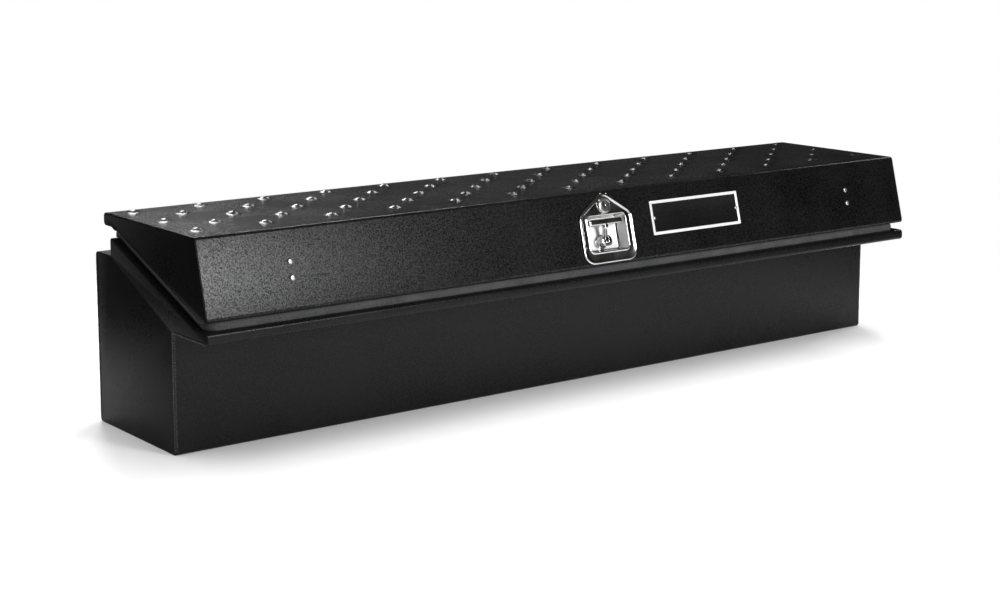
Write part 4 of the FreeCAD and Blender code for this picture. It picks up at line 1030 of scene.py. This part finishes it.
def house(inset, z):
    """Ring of the dish's outline moved inwards, about the latch's middle line."""
    reach = latch_width / 2 - inset
    slanted = Vector((latch_width / 2, latch_shoulder - latch_apex)).normalized()
    apex = latch_apex + inset / slanted.x
    shoulder = latch_shoulder + inset * (1 - slanted.y) / slanted.x
    corners = [(0, -apex), (reach, -shoulder), (reach, inset - latch_bottom), (-reach, inset - latch_bottom),
               (-reach, -shoulder)]
    return [(p.x, p.y, z) for p in rounded(corners, [r - inset for r in latch_corner_radii], 10)]


def pocket(grow, z):
    """Ring of the pocket's outline moved outwards."""
    reach = pocket_width / 2 + grow
    low = -pocket_s - pocket_height / 2 - grow
    high = -pocket_s + pocket_height / 2 + grow
    corners = [(-reach, low), (reach, low), (reach, high), (-reach, high)]
    return [(p.x, p.y, z) for p in rounded(corners, [max(pocket_corner + grow, 0.4 * mm)] * 4, 8)]


def laid_rings(shape, rings):
    """Rows of faces through rings of points; gives back the first and the last ring."""
    rows = [[shape.verts.new(p) for p in ring] for ring in rings]
    for low, high in zip(rows, rows[1:]):
        for k in range(len(low)):
            shape.faces.new((low[k - 1], low[k], high[k], high[k - 1]))
    return rows[0], rows[-1]


def filled_between(shape, *rings):
    """Flat face inside the first ring and outside the others."""
    edges = []
    for ring in rings:
        for k in range(len(ring)):
            edges.append(shape.edges.get((ring[k - 1], ring[k])) or shape.edges.new((ring[k - 1], ring[k])))
    bmesh.ops.triangle_fill(shape, edges=edges, use_beauty=True)


def ringed_mesh(name, shape):
    mesh = bpy.data.meshes.new(name)
    shape.to_mesh(mesh)
    shape.free()
    return outward(mesh)


def window_plate(name, outer, inner):
    """Flat plate with a window; each outline is given as a pair of rings, low and high."""
    shape = bmesh.new()
    low_outer, high_outer = laid_rings(shape, outer)
    low_inner, high_inner = laid_rings(shape, inner)
    filled_between(shape, low_outer, low_inner)
    filled_between(shape, high_outer, high_inner)
    return ringed_mesh(name, shape)


seal_pad = window_plate("gasket", [house(0.3 * mm, z) for z in (0, gasket)],
                        [pocket(pocket_opening_grow, z) for z in (0, gasket)])
finished(placed("latch_seal_pad", moved(seal_pad, on_front(latch_x, 0))), "lid", rubber, "gasket_rubber",
         "latch_gasket")

rolled_bead = [(1.3, 0.8), (0, 0.8), (0, 1.9), (0.2, 2.5), (0.7, 2.95), (1.5, 3.25), (2.6, 3.36), (3.8, 3.25),
               (4.8, 2.92), (5.6, 2.5), (6.3, 2.18), (7.2, 2.0)]
pocket_bead = [(3.4, 2.0), (2.9, 2.08), (2.5, 2.35), (2.1, 2.75), (1.6, 2.97), (1.0, 3.0), (0.5, 2.8),
               (0.1, 2.3), (0, 1.5)]
inner_floor = pan - pocket_depth
pan_rings = [pocket(grow * mm, z * mm) for grow, z in pocket_bead]
for k in range(9):
    angle = math.radians(90 * k / 8)
    pan_rings.append(pocket(-pocket_draft - pocket_fillet * (1 - math.cos(angle)),
                            inner_floor + pocket_fillet * (1 - math.sin(angle))))
back_rings = [pocket(pan, gasket), pocket(pan - pocket_draft, pocket_fillet - pocket_depth),
              pocket(pan - pocket_draft - pocket_fillet / 2, -pocket_depth)]
shape = bmesh.new()
under_edge, flange_edge = laid_rings(shape, [house(inset * mm, z * mm) for inset, z in rolled_bead])
pan_edge, pan_floor = laid_rings(shape, pan_rings)
back_edge, back_floor = laid_rings(shape, back_rings)
filled_between(shape, flange_edge, pan_edge)
filled_between(shape, under_edge, back_edge)
filled_between(shape, pan_floor)
filled_between(shape, back_floor)
dish = ringed_mesh("dish", shape)
dish.materials.append(polished)
dish.materials.append(satin_with_painted_reflection)
# Faces on the pocket's floor take the paler copy, whose pale tone is a painted reflection.
for face in dish.polygons:
    face.material_index = 1 if inner_floor - 0.1 * mm < face.center.z < inner_floor + 0.4 * mm else 0
finished(placed("latch_pan", moved(dish, on_front(latch_x, 0))), "lid", None, "polished_stainless", "latch_dish",
         angle=30)

# Lock.
# A plated round bezel and threaded body, clamped through the dish by a thin nut, with a key plug that
# turns inside it and carries the pawl on its tail.

lock_s = 25 * mm
bezel_radius = 14 * mm
lock_body_radius = 9.5 * mm
lock_body_reach = 34 * mm
lock_nut_radius = 14.5 * mm
nut_height = 4 * mm
plug_radius = 7.8 * mm
plug_reach = 35 * mm
bezel_face = flange_face + 3.5 * mm
keyway_width = 1.8 * mm
keyway_height = 9 * mm

plated = grained("bright_plate", (0.48, 0.48, 0.47), (0.66, 0.66, 0.65), 1.2 * mm, 0.012 * mm, 0.16,
                 rough_play=0.05, cloud=60.0, metallic=1.0)

lock_hole = plug_radius + running_fit
lock_stations = [
    (lock_hole, -lock_body_reach), (lock_body_radius, -lock_body_reach), (lock_body_radius, flange_face),
    (bezel_radius - 0.2 * mm, flange_face), (bezel_radius, flange_face + 0.4 * mm),
    (bezel_radius, bezel_face - 1.5 * mm), (bezel_radius - 0.5 * mm, bezel_face - 0.6 * mm),
    (bezel_radius - 1.6 * mm, bezel_face - 0.1 * mm), (bezel_radius - 2.4 * mm, bezel_face),
    (bezel_radius - 3.6 * mm, bezel_face), (bezel_radius - 4 * mm, bezel_face - 0.5 * mm),
    (bezel_radius - 4.5 * mm, bezel_face - 0.5 * mm), (bezel_radius - 4.8 * mm, bezel_face),
    (lock_hole + 0.3 * mm, bezel_face), (lock_hole, bezel_face - 0.3 * mm),
]
lock_body = lathed("lock_body", lock_stations, 56, closed=True)
lock_nut = edges_eased(lathed("lock_nut", [(lock_nut_radius, -sheet - nut_height), (lock_nut_radius, -sheet)], 6),
                       0.4 * mm, 2)
lock_nut = cut(lock_nut, lathed("nut_hole", [(lock_body_radius - 0.2 * mm, -9 * sheet),
                                             (lock_body_radius - 0.2 * mm, 0)], 48))
lock_case = moved(joined("lock_case", [lock_body, lock_nut]), on_front(latch_x, lock_s))
finished(placed("lock_bezel", lock_case), "lid", plated, "plated_metal", "lock_housing")

plug_face = bezel_face - 0.5 * mm
plug_body = lathed("plug", [(plug_radius - 0.3 * mm, -plug_reach), (plug_radius, 0.3 * mm - plug_reach),
                            (plug_radius, plug_face - 0.5 * mm), (plug_radius - 0.5 * mm, plug_face)], 48)
keyway = block("keyway", (-keyway_width / 2, -keyway_height / 2, plug_face - keyway_height),
               (keyway_width / 2, keyway_height / 2, plug_face + 1 * mm))
plug_body = edges_eased(cut(plug_body, keyway), 0.15 * mm, 2, 60)
finished(placed("lock_plug", moved(plug_body, on_front(latch_x, lock_s))), "key_plug", plated, "plated_metal",
         "key_plug")

# Spindle and its bush.
# A turned stainless clevis stands in a flanged bush that is riveted in the pocket's floor. Its two ears
# hold the handle's pin, and its square tail behind the dish carries the cam.

spindle_s = 87 * mm
clevis_radius = 11 * mm
clevis_front = -3.5 * mm
clevis_slot = 8.2 * mm
clevis_floor = 3 * mm
clevis_cheek = 8 * mm
base_gap = 0.4 * mm
journal_radius = 5 * mm
square_width = 7 * mm
tail_radius = 3.4 * mm
cam_depth = 35 * mm
cam_thickness = 4 * mm
tail_end = cam_depth + cam_thickness + 6.5 * mm
bush_radius = 9 * mm
bush_flange_radius = 13 * mm
bush_flange = 2.4 * mm
bush_reach = 34 * mm
handle_pivot_depth = 10 * mm
pin_short = 0.6 * mm
far = 20 * mm

bush_bore = journal_radius + running_fit
bush_front = inner_floor + bush_flange
bush_stations = [
    (bush_bore, -bush_reach), (bush_radius, -bush_reach), (bush_radius, inner_floor),
    (bush_flange_radius, inner_floor), (bush_flange_radius, bush_front - 1.1 * mm),
    (bush_flange_radius - 0.4 * mm, bush_front - 0.35 * mm), (bush_flange_radius - 1.2 * mm, bush_front),
    (bush_bore + 0.4 * mm, bush_front), (bush_bore, bush_front - 0.4 * mm),
]
bush = moved(lathed("bush", bush_stations, 48, closed=True), on_front(latch_x, spindle_s))
finished(placed("spindle_ring", bush), "lid", plated, "plated_metal", "spindle_bush")

clevis_base = bush_front + base_gap
head_stations = [(clevis_radius - 0.5 * mm, clevis_base), (clevis_radius, clevis_base + 0.5 * mm),
                 (clevis_radius, clevis_front - 1.2 * mm), (clevis_radius - 0.4 * mm, clevis_front - 0.4 * mm),
                 (clevis_radius - 1.3 * mm, clevis_front)]
slot_floor = clevis_base + clevis_floor
clevis = cut(
    lathed("clevis", head_stations, 48),
    block("slot", (-clevis_slot / 2, -far, slot_floor), (clevis_slot / 2, far, far)),
    block("cheek", (-far, -far, slot_floor - 1 * mm), (far, -clevis_cheek, far)),
    moved(lathed("pin_hole", [(pin_radius, -far), (pin_radius, far)], 24),
          Matrix.Translation((0, 0, -handle_pivot_depth)) @ Matrix.Rotation(math.pi / 2, 4, "Y")),
)
clevis = edges_eased(clevis, 0.35 * mm, 2, 50)
journal = lathed("journal", [(journal_radius, -cam_depth), (journal_radius, clevis_base)], 32)
square = edges_eased(block("square", (-square_width / 2, -square_width / 2, -cam_depth - cam_thickness),
                           (square_width / 2, square_width / 2, -cam_depth)), 0.3 * mm)
tail = lathed("tail", [(tail_radius - 0.6 * mm, -tail_end), (tail_radius, 0.6 * mm - tail_end),
                       (tail_radius, -cam_depth - cam_thickness)], 24)
whole = moved(joined("spindle", [clevis, journal, square, tail]), on_front(latch_x, spindle_s))
finished(placed("clevis_spindle", whole), "spindle", polished, "polished_stainless", "spindle")

pin_half = clevis_radius - pin_short
pin_stations = [(pin_radius - 0.8 * mm, -pin_half), (pin_radius, 0.6 * mm - pin_half),
                (pin_radius, pin_half - 0.6 * mm), (pin_radius - 0.8 * mm, pin_half)]
cross_pin = lathed("cross_pin", pin_stations, 24)
moved(cross_pin, Matrix.Translation((0, 0, -handle_pivot_depth)) @ Matrix.Rotation(math.pi / 2, 4, "Y"))
finished(placed("clevis_pin", moved(cross_pin, on_front(latch_x, spindle_s))), "spindle", polished,
         "polished_stainless", "handle_pin")

# T handle.
# A polished casting: a grip bar with softened edges, left bare, and a stem that tapers down to an eye
# between the spindle's ears, with a round collar where stem and bar meet.

handle_span = 74 * mm
handle_bar_s = 53.5 * mm
grip_height = 11 * mm
grip_depth = 8 * mm
grip_proud = 1 * mm
grip_corner = 2.6 * mm
eye_radius = 6 * mm
stem_width = 7.6 * mm
casting_voxel = 0.4 * mm


def grip_section(x, inset):
    """Ring of the grip bar, in the handle's own place on the front."""
    low = -handle_bar_s - grip_height / 2 + inset
    high = -handle_bar_s + grip_height / 2 - inset
    near = grip_proud - inset
    back = grip_proud - grip_depth + inset
    corners = [(low, back), (high, back), (high, near), (low, near)]
    return [(x, p.x, p.y) for p in rounded(corners, [grip_corner - inset / 2] * 4, 5)]


def stem_section(s, half_width, near, back):
    corners = [(-half_width, -back), (half_width, -back), (half_width, -near), (-half_width, -near)]
    return [(p.x, -s, p.y) for p in rounded(corners, [1.8 * mm] * 4, 5)]


reach = handle_span / 2
grip_ends = [(reach, 2.0), (reach - 0.5 * mm, 1.1), (reach - 1.3 * mm, 0.45), (reach - 2.4 * mm, 0.1),
             (reach - 4 * mm, 0)]
grip_stations = [(-x, inset) for x, inset in grip_ends] + [(x, inset) for x, inset in reversed(grip_ends)]
grip = tube_mesh("grip", [grip_section(x, inset * mm) for x, inset in grip_stations])
stem_stations = [(52, 4.6, 0.6, 6.4), (58, 4.2, 1.0, 7.0), (64, 3.8, 2.0, 8.6), (72, 3.8, 3.6, 11.4),
                 (79, 3.8, 4.8, 13.6), (84, 3.8, 5.2, 14.6)]
stem = tube_mesh("stem", [stem_section(*[value * mm for value in station]) for station in stem_stations])
collar = lathed("collar", [(0, -5.4 * mm), (3 * mm, -5.1 * mm), (5 * mm, -3.6 * mm), (5.6 * mm, -1.2 * mm),
                           (5.6 * mm, 1.2 * mm), (5 * mm, 3.6 * mm), (3 * mm, 5.1 * mm), (0, 5.4 * mm)], 32)
moved(collar, Matrix.Translation((0, -61 * mm, -4.4 * mm)))
eye = moved(lathed("eye", [(eye_radius - 0.6 * mm, -stem_width / 2), (eye_radius, 0.6 * mm - stem_width / 2),
                           (eye_radius, stem_width / 2 - 0.6 * mm), (eye_radius - 0.6 * mm, stem_width / 2)], 40),
            Matrix.Translation((0, -spindle_s, -handle_pivot_depth)) @ Matrix.Rotation(math.pi / 2, 4, "Y"))
casting = placed("casting", joined("casting", [grip, stem, collar, eye]))
merge = casting.modifiers.new("merge", "REMESH")
merge.mode = "VOXEL"
merge.voxel_size = casting_voxel
smooth = casting.modifiers.new("smooth", "SMOOTH")
smooth.factor = 0.5
smooth.iterations = 6
applied(casting)
pin_bore = moved(lathed("pin_bore", [(pin_radius + running_fit, -far), (pin_radius + running_fit, far)], 32),
                 Matrix.Translation((0, -spindle_s, -handle_pivot_depth)) @ Matrix.Rotation(math.pi / 2, 4, "Y"))
handle = moved(outward(cut(casting.data, pin_bore)), on_front(latch_x, 0))
bpy.data.objects.remove(casting)
finished(placed("t_handle_casting", handle), "t_handle", polished, "polished_stainless", "t_handle", angle=45)

# Latch rods.
# Two zinc-plated steel rods run from the cam's pins out to the ends of the lid. Each has a slotted
# plate on its inner end, and the right one is cranked to come level with its guide.

rod_radius = 4 * mm
rod_s = 64.5 * mm
rod_depth = 41 * mm
rod_start = 11 * mm
rod_tip_chamfer = 1.5 * mm
strike_x = 731 * mm
rod_tip = strike_x - 0.5 * mm
cam_arm = 22 * mm
cam_half_turn = math.radians(22.5)
yoke_depth = 39.6 * mm
yoke_thickness = 2.8 * mm
yoke_near = 13 * mm
yoke_far = 30 * mm
yoke_past_pin = 9 * mm
yoke_overlap = 3 * mm
slot_half = (3.6 * mm, 4.8 * mm)


def rod_bar(route):
    """Round bar along a route in the plane of the rods, with a chamfered tip at its end."""
    path = eased_line(route, 18 * mm, 10)
    tip, aside = path[-1]
    way = Vector((aside.y, -aside.x))
    rings = []
    stops = [(p, n, rod_radius) for p, n in path[:-1]]
    stops += [(tip - way * rod_tip_chamfer, aside, rod_radius), (tip, aside, rod_radius - rod_tip_chamfer)]
    for p, n, radius in stops:
        ring = []
        for k in range(24):
            angle = 2 * math.pi * k / 24
            across = n * radius * math.cos(angle)
            ring.append((p.x + across.x, p.y + across.y, radius * math.sin(angle) - rod_depth))
        rings.append(ring)
    return tube_mesh("rod_bar", rings)


def yoke(side, x0, x1):
    """Slotted plate round a cam pin; side is 1 for the upper pin."""
    pin_x = latch_x - side * cam_arm * math.sin(cam_half_turn)
    middle = -spindle_s + side * cam_arm * (1 + math.cos(cam_half_turn)) / 2
    low = -spindle_s + side * (yoke_near if side > 0 else yoke_far)
    high = -spindle_s + side * (yoke_far if side > 0 else yoke_near)
    plate = rounded([(x0, low), (x1, low), (x1, high), (x0, high)], [2.5 * mm] * 4, 4)
    w, h = slot_half
    slot = rounded([(pin_x - w, middle - h), (pin_x + w, middle - h), (pin_x + w, middle + h),
                    (pin_x - w, middle + h)], [3.2 * mm] * 4, 5)
    layers = (-yoke_depth - yoke_thickness, -yoke_depth)
    return window_plate("yoke", [[(p.x, p.y, z) for p in plate] for z in layers],
                        [[(p.x, p.y, z) for p in slot] for z in layers])


pin_offset = cam_arm * math.sin(cam_half_turn)
left_inner = latch_x - pin_offset - rod_start
right_inner = latch_x + pin_offset + rod_start
low_s = 2 * spindle_s - rod_s
left_rod = joined("left_rod", [
    rod_bar([(left_inner, -rod_s), (-rod_tip, -rod_s)]),
    yoke(1, left_inner - yoke_overlap, latch_x - pin_offset + yoke_past_pin)])
right_rod = joined("right_rod", [
    rod_bar([(right_inner, -low_s), (right_inner + 30 * mm, -low_s), (right_inner + 85 * mm, -rod_s),
             (rod_tip, -rod_s)]),
    yoke(-1, latch_x + pin_offset - yoke_past_pin, right_inner + yoke_overlap)])
for side, mesh in (("left", left_rod), ("right", right_rod)):
    piece = placed("latch_bar_" + side, moved(mesh, on_front(0, 0)))
    finished(piece, "latch_rod_" + side, zinc, "zinc_steel", "latch_rod_" + side)

# Rivets on the lid's front.
# Large-head blind rivets of bright stainless steel, two at each rod guide. Their domes catch the light,
# and each has the small pit that the pulled mandrel leaves.

guide_left_x = -606 * mm
guide_right_x = 617 * mm
guide_rivet_pitch = 25 * mm
guide_rivet_radius = 4.9 * mm
guide_rivet_height = 2.2 * mm

head = rivet_head(guide_rivet_radius, guide_rivet_height, 2.4 * mm, 9 * mm, 28, 1.3 * mm)
guide_rivets = in_rows(head, 2, 2, guide_right_x - guide_left_x, guide_rivet_pitch, bright_steel,
                       on_front((guide_left_x + guide_right_x) / 2, rod_s))
finished(placed("guide_riveting", guide_rivets), "lid", bright_steel, "bright_stainless", "guide_rivets", angle=50)

# Gas springs.
# A black painted pressure tube slides on a chromed rod at each end of the box. Its lower eye turns on
# a stud on the tub's end, and its upper eye on a stud under the lid.

strut_x = 715 * mm
strut_tube_radius = 9 * mm
strut_rod_radius = 4 * mm
strut_stud_radius = 4 * mm
strut_eye_width = 10 * mm
strut_tube_start = 34 * mm
strut_neck = 24 * mm
strut_foot = Vector((strut_x, hinge_y - 130 * mm, hinge_z - 150 * mm))
strut_head = Vector((strut_x, hinge_y - 60 * mm, hinge_z + 8 * mm))
strut_length = (strut_head - strut_foot).length
strut_way = (strut_head - strut_foot).normalized()
strut_frame = axes(strut_foot, (1, 0, 0), strut_way.cross(Vector((1, 0, 0))), strut_way)

strut_paint = grained("strut_paint", (0.008, 0.008, 0.008), (0.014, 0.014, 0.014), 1.5 * mm, 0.03 * mm, 0.25)
strut_chrome = grained("strut_chrome", (0.55, 0.55, 0.56), (0.7, 0.7, 0.71), 2 * mm, 0.004 * mm, 0.08,
                       rough_play=0.03, metallic=1.0)


def strut_eye(radius, hole, height):
    """Eye across the strut, at a height along it."""
    ease = 0.8 * mm
    w = strut_eye_width / 2
    stations = [(hole, -w), (radius - ease, -w), (radius, ease - w), (radius, w - ease), (radius - ease, w), (hole, w)]
    mesh = lathed("strut_eye", stations, 36, closed=True)
    return moved(mesh, Matrix.Translation((0, 0, height)) @ Matrix.Rotation(math.pi / 2, 4, "Y"))


tube_length = strut_length - strut_neck - strut_tube_start
tube_end = strut_tube_start + tube_length
bore = strut_rod_radius + 0.1 * mm
tube_stations = [
    (bore, tube_end - 4 * mm), (bore, strut_tube_start), (strut_tube_radius - 3 * mm, strut_tube_start),
    (strut_tube_radius - 1 * mm, strut_tube_start + 0.8 * mm), (strut_tube_radius, strut_tube_start + 2.4 * mm),
    (strut_tube_radius, tube_end - 3 * mm), (strut_tube_radius - 1 * mm, tube_end - 1 * mm),
    (strut_tube_radius - 3.5 * mm, tube_end), (strut_rod_radius + 0.8 * mm, tube_end),
    (strut_rod_radius + 0.8 * mm, tube_end + 5 * mm), (strut_rod_radius, tube_end + 6 * mm),
    (strut_rod_radius, strut_length - 7 * mm), (1 * mm, strut_length - 7 * mm), (1 * mm, tube_end - 4 * mm),
]
tube = joined("strut_tube", [lathed("tube", tube_stations, 36, closed=True),
                             strut_eye(8 * mm, strut_stud_radius + 0.3 * mm, strut_length)])
rod_end = strut_length - strut_neck - 15 * mm
rod = joined("strut_rod", [lathed("rod", [(strut_rod_radius, 8 * mm), (strut_rod_radius, rod_end)], 32),
                           strut_eye(8.5 * mm, strut_stud_radius + running_fit, 0)])
for name, mesh, finish, slot in (("tube", tube, strut_paint, "strut_black"), ("rod", rod, strut_chrome, "strut_chrome")):
    moved(mesh, strut_frame)
    for side, shape in (("right", mesh), ("left", mirrored_x(mesh))):
        node = "gas_spring_" + name + "_" + side
        finished(placed("strut_" + name + "_" + side, shape), node, finish, slot, node)

# Name plate.
# A thin aluminium plate with a bright raised border round a black field, riveted at both ends. The
# field is left bare.

plate_x = 229.5 * mm
plate_s = 58.5 * mm
plate_length = 210 * mm
plate_height = 60 * mm
plate_border = 5 * mm
plate_sheet = 1 * mm
plate_sunk = 0.3 * mm
plate_rivet_inset = 7 * mm
plate_rivet_radius = 3 * mm
plate_rivet_height = 1.5 * mm

plate_metal = grained("plate_border", (0.74, 0.74, 0.74), (0.84, 0.84, 0.84), 1.1 * mm, 0.01 * mm, 0.4,
                      metallic=0.3)
plate_black = grained("plate_field", (0.004, 0.004, 0.0042), (0.007, 0.007, 0.0072), 1.3 * mm, 0.02 * mm, 0.22,
                      specular=0.25)


def plate_ring(inset, z):
    w = plate_length / 2 - inset
    h = plate_height / 2 - inset
    corner = max(1.5 * mm - inset * 0.3, 0.4 * mm)
    return [(p.x, p.y, z) for p in rounded([(-w, -h), (w, -h), (w, h), (-w, h)], [corner] * 4, 4)]


field_height = plate_sheet - plate_sunk
plate_steps = [(0, 0), (0, plate_sheet - 0.2 * mm), (0.2 * mm, plate_sheet), (plate_border - 0.4 * mm, plate_sheet),
               (plate_border, field_height)]
shape = bmesh.new()
plate_back, field_edge = laid_rings(shape, [plate_ring(inset, z) for inset, z in plate_steps])
filled_between(shape, plate_back)
filled_between(shape, field_edge)
plate_mesh = ringed_mesh("plate", shape)
plate_mesh.materials.append(plate_metal)
plate_mesh.materials.append(plate_black)
for face in plate_mesh.polygons:
    middle = face.center
    within = abs(middle.x) < plate_length / 2 - plate_border and abs(middle.y) < plate_height / 2 - plate_border
    face.material_index = 1 if within and middle.z > field_height / 2 else 0
finished(placed("name_plate_bare", moved(plate_mesh, on_front(plate_x, plate_s))), "lid", None, "plate_black",
         "name_plate")
head = rivet_head(plate_rivet_radius, plate_rivet_height, 1.6 * mm, 5 * mm, 24, 0.8 * mm)
place = on_front(plate_x, plate_s) @ Matrix.Translation((0, 0, field_height))
plate_rivets = in_rows(head, 2, 1, plate_length - 2 * plate_rivet_inset, 0.0, bright_steel, place)
finished(placed("plate_riveting", plate_rivets), "lid", bright_steel, "bright_stainless", "name_plate_rivets",
         angle=50)
